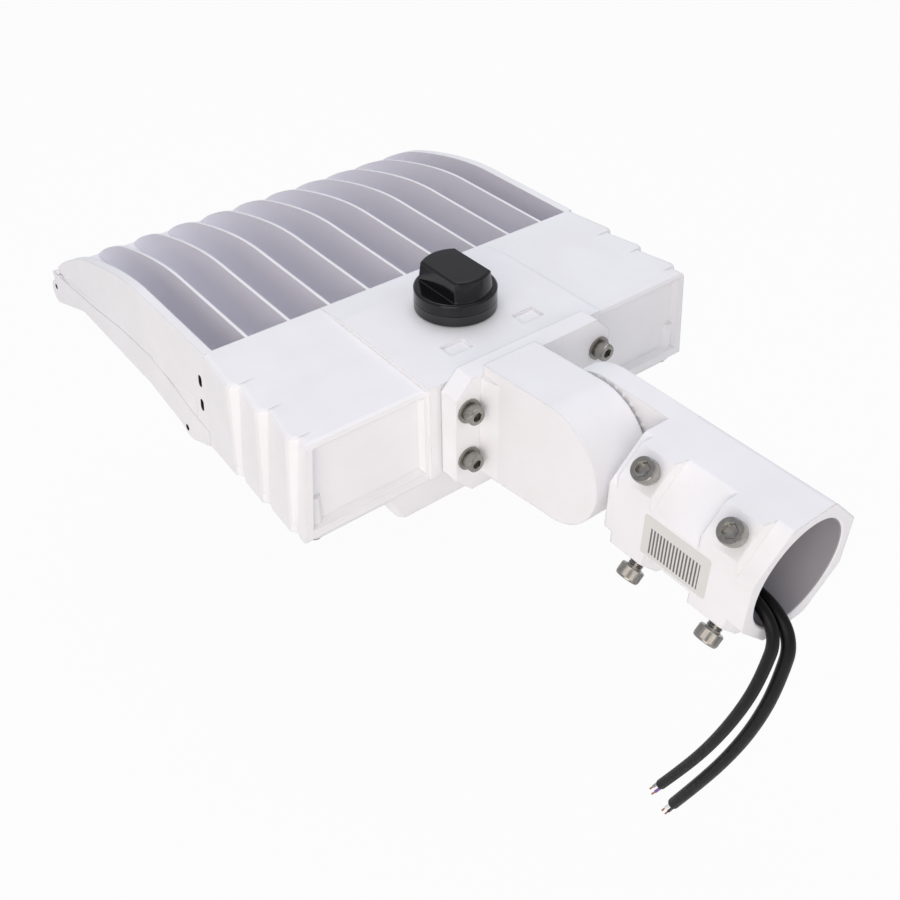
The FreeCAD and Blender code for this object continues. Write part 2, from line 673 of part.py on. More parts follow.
def side_scoops(side):
    """Tapering hollows in the side wall: one from the box forward, one from the nose back."""
    scoops = []
    for (mouth, point), radius, deep in zip(SCOOPS, SCOOP_R, SCOOP_DEEP):
        ends = []
        for (ahead, drop), r, d in ((mouth, radius, deep), (point, SCOOP_POINT_R, 0.0)):
            x = SIDE_X + drop * DRAFT + r - d
            ends.append(V(side * x, BOX_Y1 + ahead, TOP_Z - drop))
        along = ends[1] - ends[0]
        scoops.append(Part.makeCone(radius, SCOOP_POINT_R, along.Length, ends[0], along))
    return scoops


def rear_panel(side):
    """Recess in the box's rear face whose sides close in down to its floor."""
    def ring(y, lean):
        inner = BOSS_X + PANEL_BOSS_GAP + lean
        outer = SIDE_X - PANEL_IN - lean
        low = BOX_LOW + PANEL_LOW + lean
        top = TOP_Z - PANEL_TOP - lean / 2.0
        wider = (top - low) * DRAFT
        points = [(inner, top), (outer, top), (outer + wider, low), (inner, low), (inner, top)]
        return Part.makePolygon([V(side * x, y, z) for x, z in points])
    return Part.makeLoft([ring(BOX_Y0 - JOIN, 0.0), ring(BOX_Y0 + PANEL_DEEP, PANEL_LEAN)],
                         True, True)


def arch_slab(x0, x1):
    """A fin from x0 to x1: level top, arch down to the nose, then the plate's underside."""
    curve = Part.BSplineCurve()
    curve.interpolate([V(x0, BOX_Y1 + ahead, TOP_Z - drop) for ahead, drop in ARCH])
    rear = BOX_Y1 - JOIN
    tip = TOP_Z - ARCH[-1][1]
    top = Part.makeLine(V(x0, rear, TOP_Z), V(x0, BOX_Y1 + ARCH[0][0], TOP_Z))
    nose = [V(x0, HEAD_Y1, tip), V(x0, HEAD_Y1 - 2.0 * NOSE_BLUNT, tip - NOSE_BLUNT),
            V(x0, PLATE_Y1, tip - NOSE_BLUNT), V(x0, PLATE_Y1, PLATE_Z0),
            V(x0, rear, PLATE_Z0), V(x0, rear, TOP_Z)]
    wire = Part.Wire([top, curve.toShape()] + Part.makePolygon(nose).Edges)
    return Part.Face(wire).extrude(V(x1 - x0, 0, 0))


def drafted(side, inner, outer, z0, z1):
    """Slab that leans out with the wall: inner and outer are distances in from its face."""
    def face(z):
        return SIDE_X + (TOP_Z - z) * DRAFT
    return end_prism([(side * (face(z0) - inner), z0), (side * (face(z0) - outer), z0),
                      (side * (face(z1) - outer), z1), (side * (face(z1) - inner), z1)],
                     BOX_Y1 - JOIN, HEAD_Y1 + LUG_REACH)


def wall_range(side):
    """X range that holds the head's side walls on one side."""
    return sorted((side * (SIDE_X - CAVITY_IN), side * (SIDE_X + CAVITY_IN)))


def side_walls():
    """Outer wall down to the parting line, and the inner wall behind it, on both sides."""
    end = HEAD_Y1 + JOIN
    above = [(BOX_Y1 - JOIN, TOP_Z + JOIN), (BOX_Y1 - JOIN, TOP_Z - PARTING[0][1])]
    above += [(BOX_Y1 + ahead, TOP_Z - drop) for ahead, drop in PARTING]
    above += [(end, TOP_Z - PARTING[-1][1]), (end, TOP_Z + JOIN)]
    walls = []
    for side in (-1, 1):
        x0, x1 = wall_range(side)
        profile = arch_slab(x0, x1)
        outer = profile.common(drafted(side, OUTER_T, 0.0, LUG_LOW, TOP_Z))
        walls.append(outer.common(side_prism(above, x0, x1)))
        walls.append(profile.common(drafted(side, OUTER_T + INNER_T, OUTER_T - 0.1,
                                            LUG_LOW, TOP_Z)))
    return walls


def drain_slots(side):
    """Two upright slots through the outer wall, just ahead of the box."""
    y = BOX_Y1 + SLOT_FRONT
    slots = []
    for drop in SLOT_DROPS:
        z = TOP_Z - drop
        x0 = SIDE_X + drop * DRAFT - SLOT_DEEP
        x1 = x0 + 2.0 * SLOT_DEEP
        ends = [rod(side * x0, y, z + dz, SLOT_R, x1 - x0, AX * float(side))
                for dz in (-SLOT_LONG / 2.0, SLOT_LONG / 2.0)]
        lo, hi = sorted((side * x0, side * x1))
        slots.append(fuse(ends + [block(lo, hi, y - SLOT_R, y + SLOT_R,
                                        z - SLOT_LONG / 2.0, z + SLOT_LONG / 2.0)]))
    return slots


def housing():
    parts = [driver_box()]
    level = CONTROL_Y + SOCKET_R + BAND_LEVEL
    parts.append(side_prism([(PAD_Y, TOP_Z - BAND_HIGH), (PAD_Y, TOP_Z + BAND_HIGH),
                             (level, TOP_Z + BAND_HIGH), (BOX_Y1, TOP_Z),
                             (BOX_Y1, TOP_Z - BAND_HIGH)], -BAND_X, BAND_X))
    parts.append(block(-BOSS_X, BOSS_X, PAD_Y, BOX_Y0 + 2.0 * JOIN, BOX_LOW + BOSS_LOW_IN,
                       TOP_Z))
    parts.append(block(-PLATE_X, PLATE_X, BOX_Y1 - JOIN, PLATE_Y1, PLATE_Z0, PLATE_Z1))
    for k in range(FIN_COUNT):
        x = (k - (FIN_COUNT - 1) / 2.0) * PITCH
        parts.append(arch_slab(x - FIN_T / 2.0, x + FIN_T / 2.0))
    body = fuse(parts + side_walls())
    tools = [block(-CAVITY_X, CAVITY_X, CAVITY_Y[0], CAVITY_Y[1], BOX_LOW - JOIN, CAVITY_TOP)]
    for side in (-1, 1):
        tools.append(rear_panel(side))
        cx = side * POCKET_X
        cy = BOX_Y0 + POCKET_BACK
        floor = TOP_Z + BAND_HIGH - POCKET_DEEP
        tools.append(block(cx - POCKET_W / 2.0, cx + POCKET_W / 2.0, cy - POCKET_L / 2.0,
                           cy + POCKET_L / 2.0, floor, floor + 2.0 * POCKET_DEEP))
        tools += drain_slots(side) + gill_marks(side) + side_scoops(side)
    tools.append(rod(0, CONTROL_Y, CAVITY_TOP - JOIN, SOCKET_NECK_R + NECK_GAP,
                     ROOF + BAND_HIGH + 2.0 * JOIN, AZ))
    for x, y in frame_screw_places():
        tools.append(few_sided(x, y, PLATE_Z0, FRAME_SCREW_R + 2.0 * SCREW_GAP, PLATE_T, AZ,
                               SMALL_SIDES))
    body = cut(body, tools)
    posts = [few_sided(x, y, BOX_LOW, COVER_POST_R, COVER_POST, AZ, SMALL_SIDES)
             for x, y in cover_screw_places()]
    drills = [few_sided(x, y, BOX_LOW, COVER_SCREW_R + 2.0 * SCREW_GAP,
                        COVER_SCREW_LONG - COVER_T - COVER_SEAL + DRILL_OVER, AZ, SMALL_SIDES)
              for x, y in cover_screw_places()]
    for side in (-1, 1):
        for z in FLANGE_BOLT_Z:
            posts.append(few_sided(side * FLANGE_BOLT_X, CAVITY_Y[0] - JOIN, z, M8_POST_R,
                                   POST_OUT + JOIN, AY, SMALL_SIDES))
            drills.append(rod(side * FLANGE_BOLT_X, PAD_Y, z, M8_R + SCREW_GAP,
                              M8_INTO_BODY + DRILL_OVER, AY))
    limit = block(-SIDE_X, SIDE_X, BOX_Y0 + JOIN, BOX_Y1 - JOIN, BOX_LOW, CAVITY_TOP)
    body = body.fuse([p.common(limit) for p in posts])
    return body.cut(drills).removeSplitter()


def frame_screw_places():
    """Three screws along the rim's rear and front, three along each side."""
    middle = (LENS_Y[0] + LENS_Y[1]) / 2.0
    places = []
    for y in (RIM_Y[0] + FRAME_SCREW_EDGE[0], RIM_Y[1] - FRAME_SCREW_EDGE[1]):
        for x in (-FRAME_SCREW_X, PITCH / 2.0, FRAME_SCREW_X):
            places.append((x, y))
    for x in (-LENS_X - FRAME_SCREW_IN, LENS_X + FRAME_SCREW_IN):
        for k in (-1, 0, 1):
            places.append((x, middle + k * SIDE_SCREW_STEP))
    return places


# ---- optical side -----------------------------------------------------------------------------
def led_board():
    return block(-LENS_X + BOARD_IN[0], LENS_X - BOARD_IN[0], LENS_Y[0] + BOARD_IN[1],
                 LENS_Y[1] - BOARD_IN[1], PLATE_Z0 - BOARD_T, PLATE_Z0)


def led_chips():
    chips = []
    z1 = PLATE_Z0 - BOARD_T
    for i in range(CHIP_COLS):
        for j in range(CHIP_ROWS):
            x = (i - (CHIP_COLS - 1) / 2.0) * CHIP_STEP
            y = (LENS_Y[0] + LENS_Y[1]) / 2.0 + (j - (CHIP_ROWS - 1) / 2.0) * CHIP_STEP
            chips.append(block(x - CHIP / 2.0, x + CHIP / 2.0, y - CHIP / 2.0, y + CHIP / 2.0,
                               z1 - CHIP_T, z1))
    return Part.makeCompound(chips)


def lens_seal():
    ring = block(-LENS_X, LENS_X, LENS_Y[0], LENS_Y[1], LENS_TOP, PLATE_Z0)
    return ring.cut(block(-LENS_X + SEAL_WIDE, LENS_X - SEAL_WIDE, LENS_Y[0] + SEAL_WIDE,
                          LENS_Y[1] - SEAL_WIDE, LENS_TOP, PLATE_Z0))


def lens_plate():
    return block(-LENS_X, LENS_X, LENS_Y[0], LENS_Y[1], RIM_TOP, LENS_TOP)


def lug_middles():
    """Middle of the rounded end of each lug, in (y, z)."""
    return [(BOX_Y1 + ahead, TOP_Z - drop) for ahead, drop in LUGS]


def skirt_outline():
    """Side view of the frame's skirt: along the parting line, with a lug at each end."""
    rear = BOX_Y1 + PARTING_GAP
    top = TOP_Z - PARTING_GAP
    outline = [(rear, top - PARTING[0][1])]
    outline += [(BOX_Y1 + ahead, top - drop) for ahead, drop in PARTING[1:]]
    (rear_y, rear_z), (front_y, front_z) = lug_middles()
    for k in range(LUG_SIDES // 2 + 1):
        a = math.pi / 2.0 - 2.0 * math.pi * k / LUG_SIDES
        outline.append((front_y + LUG_R[1] * math.cos(a), front_z + LUG_R[1] * math.sin(a)))
    outline += [(front_y - LUG_RAMP[1], SKIRT_LOW), (rear_y + LUG_RAMP[0], SKIRT_LOW),
                (rear_y + LUG_R[0], rear_z - LUG_R[0] * 0.5), (rear_y, rear_z - LUG_R[0]),
                (rear_y - LUG_R[0], rear_z - LUG_R[0]), (rear, SKIRT_LOW)]
    return outline


def optic_frame():
    rim = block(-RIM_X, RIM_X, RIM_Y[0], RIM_Y[1], RIM_LOW, RIM_TOP)
    rim = rim.cut(block(-LENS_X + RIM_LAP, LENS_X - RIM_LAP, LENS_Y[0] + RIM_LAP,
                        LENS_Y[1] - RIM_LAP, RIM_LOW, RIM_TOP))
    curb = block(-PLATE_X, PLATE_X, RIM_Y[0], RIM_Y[1], RIM_TOP, PLATE_Z0)
    curb = curb.cut(block(-LENS_X - LENS_EDGE_GAP, LENS_X + LENS_EDGE_GAP,
                          LENS_Y[0] - LENS_EDGE_GAP, LENS_Y[1] + LENS_EDGE_GAP,
                          RIM_TOP, PLATE_Z0))
    parts = [rim, curb]
    for side in (-1, 1):
        x0, x1 = wall_range(side)
        skirt = side_prism(skirt_outline(), x0, x1)
        parts.append(skirt.common(drafted(side, SKIRT_T, 0.0, LUG_LOW - JOIN, TOP_Z)))
        ledge = block(x0, x1, RIM_Y[0], RIM_Y[1], RIM_LOW, PLATE_Z0 - CAP_GAP)
        parts.append(ledge.common(drafted(side, OUTER_T + INNER_T + JOIN, SKIRT_T - JOIN,
                                          RIM_LOW, TOP_Z)))
    body = fuse(parts)
    tools = []
    for side in (-1, 1):
        for y, z in lug_middles():
            tools.append(rod(side * (SIDE_X + 2.0 * CAVITY_IN), y, TOP_Z - LUG_HOLE_DROP,
                             LUG_HOLE_R, 2.0 * CAVITY_IN, AX * float(-side)))
    for x, y in frame_screw_places():
        tools.append(few_sided(x, y, RIM_LOW, FRAME_SCREW_R + 2.0 * PASS_GAP,
                               PLATE_Z0 - RIM_LOW, AZ, SMALL_SIDES))
    return body.cut(tools).removeSplitter()


def frame_screws():
    screws = [small_screw(x, y, RIM_LOW, FRAME_SCREW_R, PLATE_Z1 - RIM_LOW - SCREW_GAP,
                          FRAME_HEAD_R, FRAME_HEAD, FRAME_KEY, FRAME_KEY_DEEP)
              for x, y in frame_screw_places()]
    return Part.makeCompound(screws)


# ---- driver compartment ---------------------------------------------------------------------
def cover_screw_places():
    """Three screws along each side of the cover and two more along its front."""
    y0 = COVER_Y[0] + COVER_SCREW_R * 3.0
    y1 = COVER_Y[1] - COVER_SCREW_R * 3.0
    wide, near = COVER_SCREW_X
    places = [(side * wide, y) for side in (-1, 1) for y in (y0, (y0 + y1) / 2.0, y1)]
    return places + [(-near, y1), (near, y1)]


def cover_seal():
    side, rear, front = COVER_SEAL_IN
    ring = block(-COVER_X, COVER_X, COVER_Y[0], COVER_Y[1], COVER_TOP, BOX_LOW)
    ring = ring.cut(block(-CAVITY_X + side, CAVITY_X - side, CAVITY_Y[0] + rear,
                          CAVITY_Y[1] - front, COVER_TOP, BOX_LOW))
    return ring.cut([few_sided(x, y, COVER_TOP, COVER_SCREW_R + 2.0 * PASS_GAP, COVER_SEAL,
                               AZ, SMALL_SIDES) for x, y in cover_screw_places()])


def pod_shape(shrink, top_z, low_z):
    """Shallow tray with cut corners that leans in all round; shrink makes its inside."""
    def ring(half, y0, y1, z):
        corner = POD_CORNER
        pts = [(-half, y0 + corner), (-half + corner, y0), (half - corner, y0),
               (half, y0 + corner), (half, y1 - corner), (half - corner, y1),
               (-half + corner, y1), (-half, y1 - corner)]
        wire = [V(x, y, z) for x, y in pts]
        wire.append(wire[0])
        return Part.makePolygon(wire)
    y0 = COVER_Y[0] + shrink
    y1 = COVER_Y[0] + POD_LONG - shrink
    return Part.makeLoft([ring(POD_TOP_X - shrink, y0, y1, top_z),
                          ring(POD_LOW_X - shrink, y0 + POD_REAR_LEAN, y1 - POD_FRONT_LEAN,
                               low_z)], True, True)


def box_cover():
    plate = block(-COVER_X, COVER_X, COVER_Y[0], COVER_Y[1], COVER_LOW, COVER_TOP)
    upright = [e for e in plate.Edges if abs(e.Length - COVER_T) < 0.01]
    plate = plate.makeFillet(COVER_CORNER, upright)
    body = plate.fuse(pod_shape(0.0, COVER_LOW + JOIN, POD_LOW))
    body = body.cut([pod_shape(POD_WALL, COVER_TOP, POD_LOW + POD_WALL)])
    holes = [few_sided(x, y, COVER_LOW, COVER_SCREW_R + 2.0 * PASS_GAP, COVER_T, AZ,
                       SMALL_SIDES) for x, y in cover_screw_places()]
    holes.append(rod(VENT_X, VENT_Y, POD_LOW, VENT_NECK_R, POD_WALL, AZ))
    return body.cut(holes).removeSplitter()


def cover_screws():
    screws = [small_screw(x, y, COVER_LOW, COVER_SCREW_R, COVER_SCREW_LONG, COVER_HEAD_R,
                          COVER_HEAD, COVER_KEY, COVER_KEY_DEEP)
              for x, y in cover_screw_places()]
    return Part.makeCompound(screws)


def vent_plug():
    cap = rod(VENT_X, VENT_Y, POD_LOW, VENT_R, VENT_HIGH, AZ * -1.0)
    edges = [e for e in cap.Edges if abs(e.CenterOfMass.z - (POD_LOW - VENT_HIGH)) < 0.01]
    cap = cap.makeChamfer(VENT_EDGE, edges)
    neck = rod(VENT_X, VENT_Y, POD_LOW, VENT_NECK_R - SCREW_GAP, POD_WALL, AZ)
    return cap.fuse(neck).removeSplitter()


def led_driver():
    """Potted driver screwed up to the roof of the compartment by its two ears."""
    top = CAVITY_TOP
    x0, x1 = DRIVER_X
    y0 = BOX_Y0 + DRIVER_BACK
    y1 = y0 + DRIVER_W
    case = block(x0, x1, y0, y1, top - DRIVER_H, top)
    case = case.makeFillet(DRIVER_ROUND,
                           [e for e in case.Edges if abs(e.Length - DRIVER_H) < 0.01])
    ears = [block(x0 - DRIVER_EAR, x0, y0 + DRIVER_EAR_IN, y1 - DRIVER_EAR_IN,
                  top - DRIVER_EAR_T, top),
            block(x1, x1 + DRIVER_EAR, y0 + DRIVER_EAR_IN, y1 - DRIVER_EAR_IN,
                  top - DRIVER_EAR_T, top)]
    middle = (y0 + y1) / 2.0
    holes = [rod(x, middle, top - DRIVER_EAR_T, DRIVER_HOLE_R, DRIVER_EAR_T, AZ)
             for x in (x0 - DRIVER_EAR / 2.0, x1 + DRIVER_EAR / 2.0)]
    well = rod(0, CONTROL_Y, SOCKET_Z - SOCKET_NECK - NECK_CLEAR, SOCKET_NECK_R + NECK_CLEAR,
               SOCKET_NECK, AZ)
    return case.fuse(ears).cut(holes + [well])


def surge_protector():
    y0 = BOX_Y0 + SURGE_BACK
    case = block(SURGE_X[0], SURGE_X[1], y0, y0 + SURGE_W, CAVITY_TOP - SURGE_H, CAVITY_TOP)
    upright = [e for e in case.Edges if abs(e.Length - SURGE_H) < 0.01
               and abs(e.tangentAt(e.FirstParameter).z) > 0.9]
    return case.makeFillet(DRIVER_ROUND, upright)


def terminal_block():
    top = CAVITY_TOP
    y0 = BOX_Y0 + TERMINAL_BACK
    y1 = y0 + TERMINAL_W
    x1 = TERMINAL_X + TERMINAL_EDGE + TERMINAL_COUNT * TERMINAL_STEP
    parts = [block(TERMINAL_X, x1, y0, y1, top - TERMINAL_BASE, top)]
    drills = []
    for k in range(TERMINAL_COUNT):
        x = TERMINAL_X + TERMINAL_EDGE + k * TERMINAL_STEP
        parts.append(block(x, x + TERMINAL_PIECE, y0 + TERMINAL_EDGE, y1 - TERMINAL_EDGE,
                           top - TERMINAL_H, top - TERMINAL_BASE + JOIN))
        drills.append(rod(x + TERMINAL_PIECE / 2.0, (y0 + y1) / 2.0, top - TERMINAL_H,
                          TERMINAL_HOLE_R, TERMINAL_BASE / 2.0, AZ))
    return fuse(parts).cut(drills)


# ---- twist-lock control -----------------------------------------------------------------------
def socket_seal():
    z = TOP_Z + BAND_HIGH
    ring = rod(0, CONTROL_Y, z, SOCKET_R - CAP_ROUND, SOCKET_SEAL, AZ)
    return ring.cut(rod(0, CONTROL_Y, z, SOCKET_NECK_R + NECK_GAP, SOCKET_SEAL, AZ))


def curved_slot(start):
    """Slot for one blade, from start degrees round through the cap's whole twist."""
    half = BLADE_T / 2.0 + BLADE_GAP
    spare = math.degrees((BLADE_W / 2.0 + BLADE_GAP) / BLADE_R)
    turn = TWIST + 2.0 * spare
    corners = [V(BLADE_R - half, 0, 0), V(BLADE_R + half, 0, 0),
               V(BLADE_R + half, 0, BLADE_SLOT), V(BLADE_R - half, 0, BLADE_SLOT),
               V(BLADE_R - half, 0, 0)]
    slot = Part.Face(Part.makePolygon(corners)).revolve(V(0, 0, 0), AZ, turn)
    slot.rotate(V(0, 0, 0), AZ, start - spare)
    slot.translate(V(0, CONTROL_Y, SOCKET_Z + SOCKET_HIGH - BLADE_SLOT))
    return slot


def control_socket():
    body = rod(0, CONTROL_Y, SOCKET_Z, SOCKET_R, SOCKET_HIGH, AZ)
    body = body.fuse(rod(0, CONTROL_Y, SOCKET_Z - SOCKET_NECK, SOCKET_NECK_R,
                         SOCKET_NECK + JOIN, AZ))
    slots = [curved_slot(BLADE_AT + 360.0 * k / BLADE_COUNT) for k in range(BLADE_COUNT)]
    return body.cut(slots).removeSplitter()


def shorting_cap():
    """Flat round cap with a bar grip whose ends keep the turned outline."""
    skirt = rod(0, 0, CAP_Z0, SOCKET_R, CAP_HIGH - CAP_ROUND, AZ)
    skirt = skirt.fuse(Part.makeCone(SOCKET_R, SOCKET_R - CAP_ROUND, CAP_ROUND,
                                     V(0, 0, CAP_TOP - CAP_ROUND), AZ))
    top = CAP_TOP + GRIP_HIGH
    grip = Part.makeCone(GRIP_R[0], GRIP_R[1], GRIP_HIGH, V(0, 0, CAP_TOP), AZ)
    foot, head = GRIP_HALF
    grip = grip.common(end_prism([(-foot, CAP_TOP), (foot, CAP_TOP), (head, top),
                                  (-head, top)], -SOCKET_R, SOCKET_R))
    grip = grip.makeChamfer(GRIP_EDGE, [e for e in grip.Edges
                                        if abs(e.BoundBox.ZMin - top) < 0.01])
    body = skirt.fuse(grip).removeSplitter()
    body.translate(V(0, CONTROL_Y, 0))
    return body


def cap_blades():
    blades = []
    for k in range(BLADE_COUNT):
        blade = block(BLADE_R - BLADE_T / 2.0, BLADE_R + BLADE_T / 2.0, -BLADE_W / 2.0,
                      BLADE_W / 2.0, CAP_Z0 - BLADE_LONG, CAP_Z0)
        blade.rotate(V(0, 0, 0), AZ, BLADE_AT + 360.0 * k / BLADE_COUNT)
        blade.translate(V(0, CONTROL_Y, 0))
        blades.append(blade)
    return Part.makeCompound(blades)


def all_parts():
    parts = {
        "slip_fitter": slip_fitter(),
        "pivot_bolt": pivot_bolt(),
        "pivot_washer": pivot_washer(),
        "lead_bushing": lead_bushing(),
        "supply_lead": lead(SUPPLY_ROUTE, SUPPLY_D, "supply_lead"),
        "dimming_lead": lead(DIMMING_ROUTE, DIMMING_D, "dimming_lead"),
        "supply_cores": core_ends(SUPPLY_ROUTE, SUPPLY_D, 3),
        "dimming_cores": core_ends(DIMMING_ROUTE, DIMMING_D, 2),
        "arm": arm(),
        "flange_gasket": flange_gasket(),
        "flange_bolts": flange_bolts(),
        "flange_washers": flange_washers(),
        "housing": housing(),
        "box_cover": box_cover(),
        "cover_seal": cover_seal(),
        "cover_screws": cover_screws(),
        "vent_plug": vent_plug(),
        "led_driver": led_driver(),
        "surge_protector": surge_protector(),
        "terminal_block": terminal_block(),
        "control_socket": control_socket(),
        "socket_seal": socket_seal(),
        "shorting_cap": shorting_cap(),
        "cap_blades": cap_blades(),
        "led_board": led_board(),
        "led_chips": led_chips(),
        "lens_seal": lens_seal(),
        "lens_plate": lens_plate(),
        "optic_frame": optic_frame(),
        "frame_screws": frame_screws(),
    }
    for row, angle in BOLT_ANGLES.items():
        for place, y in zip(("rear", "front"), BOLT_ROWS_Y):
            parts["tenon_bolt_%s_%s" % (row, place)] = tenon_bolt(angle, y)
    return parts


os.makedirs("parts", exist_ok=True)
for name, shape in all_parts().items():
    ok = shape.isValid()
    print("%-24s valid %s solids %d volume %.0f" % (name, ok, len(shape.Solids), shape.Volume))
    shape.exportStep(os.path.join("parts", name + ".step"))
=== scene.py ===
import json
import math
import bmesh
import bpy
import numpy as np
from mathutils import Matrix, Vector


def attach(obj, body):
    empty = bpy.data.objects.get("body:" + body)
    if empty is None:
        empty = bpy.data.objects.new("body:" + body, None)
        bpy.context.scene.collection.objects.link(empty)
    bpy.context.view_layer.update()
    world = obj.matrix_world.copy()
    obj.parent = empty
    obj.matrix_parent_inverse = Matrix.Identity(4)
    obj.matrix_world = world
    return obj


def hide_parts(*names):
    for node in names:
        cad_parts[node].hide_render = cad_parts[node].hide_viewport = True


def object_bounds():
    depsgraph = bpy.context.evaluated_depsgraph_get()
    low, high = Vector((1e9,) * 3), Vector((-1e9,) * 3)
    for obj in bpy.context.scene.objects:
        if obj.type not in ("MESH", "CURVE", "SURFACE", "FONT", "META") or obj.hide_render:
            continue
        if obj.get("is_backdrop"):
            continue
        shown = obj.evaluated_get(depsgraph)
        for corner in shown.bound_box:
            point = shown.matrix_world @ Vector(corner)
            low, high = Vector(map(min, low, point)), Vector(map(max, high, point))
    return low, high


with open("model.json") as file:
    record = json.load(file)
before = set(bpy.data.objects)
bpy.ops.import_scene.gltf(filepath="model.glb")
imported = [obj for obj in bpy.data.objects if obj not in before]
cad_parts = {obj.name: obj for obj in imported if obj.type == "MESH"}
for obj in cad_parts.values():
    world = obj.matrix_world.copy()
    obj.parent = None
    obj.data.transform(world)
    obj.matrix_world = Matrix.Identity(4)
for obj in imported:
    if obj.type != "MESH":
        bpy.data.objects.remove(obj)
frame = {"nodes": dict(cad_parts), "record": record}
CAD_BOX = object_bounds()

# ---- Studio ----------------------------------------------------------------------------
# The camera stands above and to the rear left of the lamp, as in the photograph.
# A pale sweep lies under the hanging leads, and three soft boxes light the white casting.


def tone(code):
    """sRGB hex to linear RGBA: c/12.92 below 0.04045, else ((c + 0.055)/1.055)^2.4."""
    c = np.array([int(code[k:k + 2], 16) for k in (0, 2, 4)]) / 255.0
    low, high = c / 12.92, ((c + 0.055) / 1.055) ** 2.4
    return (*np.where(c <= 0.04045, low, high).tolist(), 1.0)


def add(tree, kind, settings=(), links=()):
    """Add one node: settings are its attributes or inputs, links are (source node, output)."""
    node = tree.nodes.new("ShaderNode" + kind)
    for key, value in dict(settings).items():
        if isinstance(key, int) or key in node.inputs:
            node.inputs[key].default_value = value
        else:
            setattr(node, key, value)
    for key, (source, out) in dict(links).items():
        tree.links.new(source.outputs[out], node.inputs[key])
    return node


def blank(name):
    """An empty node material and its output node."""
    mat = bpy.data.materials.new(name)
    mat.use_nodes = True
    mat.node_tree.nodes.clear()
    return mat, mat.node_tree


def seen_directly(tree):
    """1 for camera rays and for rays through the clear lens, else 0."""
    rays = add(tree, "LightPath")
    return add(tree, "Math", {"operation": "MAXIMUM"}, {0: (rays, "Is Camera Ray"),
                                                       1: (rays, "Is Transmission Ray")})


VIEW_FROM = (-0.38685, -0.19250, 0.41635)
HEADING, DOWN, ROLL = math.radians(37.280), math.radians(39.913), math.radians(-0.702)
ahead = Vector((math.sin(HEADING) * math.cos(DOWN), math.cos(HEADING) * math.cos(DOWN),
                -math.sin(DOWN)))
level = Vector((math.cos(HEADING), -math.sin(HEADING), 0.0))
above = level.cross(ahead)
right = level * math.cos(ROLL) + above * math.sin(ROLL)
up = above * math.cos(ROLL) - level * math.sin(ROLL)
optics = bpy.data.cameras.new("camera")
optics.lens, optics.sensor_width = 41.013, 36.0
optics.clip_start, optics.clip_end = 0.01, 50.0
camera = bpy.data.objects.new("camera", optics)
camera.matrix_world = Matrix((right, up, -ahead)).transposed().to_4x4()
camera.location = VIEW_FROM
bpy.context.scene.collection.objects.link(camera)
bpy.context.scene.camera = camera
bpy.context.scene.view_settings.view_transform = "Standard"

SWEEP_Z = -0.300
SWEEP_HALF = 12.0
PAPER_GLOW = 0.97           # share of the paper's seen colour that is even white
FILL_STRENGTH = 0.60
sweep_mesh = bpy.data.meshes.new("sweep")
sweep_mesh.from_pydata([(x * SWEEP_HALF, y * SWEEP_HALF, SWEEP_Z)
                        for x, y in ((-1, -1), (1, -1), (1, 1), (-1, 1))], [], [(0, 1, 2, 3)])
sweep = bpy.data.objects.new("sweep", sweep_mesh)
bpy.context.scene.collection.objects.link(sweep)
paper, tree = blank("seamless paper")
part = add(tree, "Math", {"operation": "MULTIPLY", 1: PAPER_GLOW},
           {0: (seen_directly(tree), 0)})
matte = add(tree, "BsdfDiffuse", {"Color": tone("F1F1F1")})
glow = add(tree, "Emission", {"Color": tone("FDFDFD"), "Strength": 1.0})
mixed = add(tree, "MixShader", (), {0: (part, 0), 1: (matte, 0), 2: (glow, 0)})
add(tree, "OutputMaterial", (), {"Surface": (mixed, 0)})
sweep_mesh.materials.append(paper)
sweep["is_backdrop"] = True

world = bpy.data.worlds.new("studio")
bpy.context.scene.world = world
world.use_nodes = True
tree = world.node_tree
tree.nodes.clear()
fill = add(tree, "Background", {"Color": tone("F0F0F6"), "Strength": FILL_STRENGTH})
white = add(tree, "Background", {"Color": tone("FDFDFD"), "Strength": 1.0})
mixed = add(tree, "MixShader", (), {0: (seen_directly(tree), 0), 1: (fill, 0), 2: (white, 0)})
add(tree, "OutputWorld", (), {"Surface": (mixed, 0)})

MIDDLE = Vector((0.0, 0.33, 0.0))
for name, place, size, watts, colour in (
        ("key soft box", (-1.60, -0.90, 0.70), 1.6, 19.0, "FFF4E9"),
        ("top soft box", (0.3, 0.9, 2.0), 1.8, 16.0, "F1F4FF"),
        ("rear soft box", (0.2, -2.1, 0.9), 1.4, 2.5, "FFFAF4")):
    lamp = bpy.data.lights.new(name, "AREA")
    lamp.size, lamp.energy = size, watts
    lamp.color = tone(colour)[:3]
    holder = bpy.data.objects.new(name, lamp)
    holder.location = place
    holder.rotation_mode = "QUATERNION"
    holder.rotation_quaternion = (MIDDLE - Vector(place)).to_track_quat("-Z", "Y")
    bpy.context.scene.collection.objects.link(holder)

# ---- Powder-coated castings ------------------------------------------------------------
# The fitter, arm, lamp body, cover and lens frame are die-cast aluminium, bead blasted and
# coated with white polyester powder. The film is satin, with a faint orange peel, and rounds
# every edge a little. Shade is painted into its colour: grey lilac on the fins' sides, grey in
# the fitter's bore and near black in the drain slots and lug holes.

MM = 0.001
CLOUD_WIDE = 38.0 * MM
PEEL_WIDE, PEEL_DEEP = 1.5 * MM, 0.012 * MM
FILM_ROUGH = (0.34, 0.46)
OUTER_WALL = 160.0 * MM     # holes in the side walls lie outside this
SLOT_Y, SLOT_Z = 377.0 * MM, (-5.6 * MM, -25.6 * MM)
SLOT_R, SLOT_TALL = 2.45 * MM, 4.6 * MM
LUG_HOLE_Y, LUG_HOLE_Z, LUG_HOLE_R = (407.0 * MM, 668.0 * MM), -63.1 * MM, 2.55 * MM


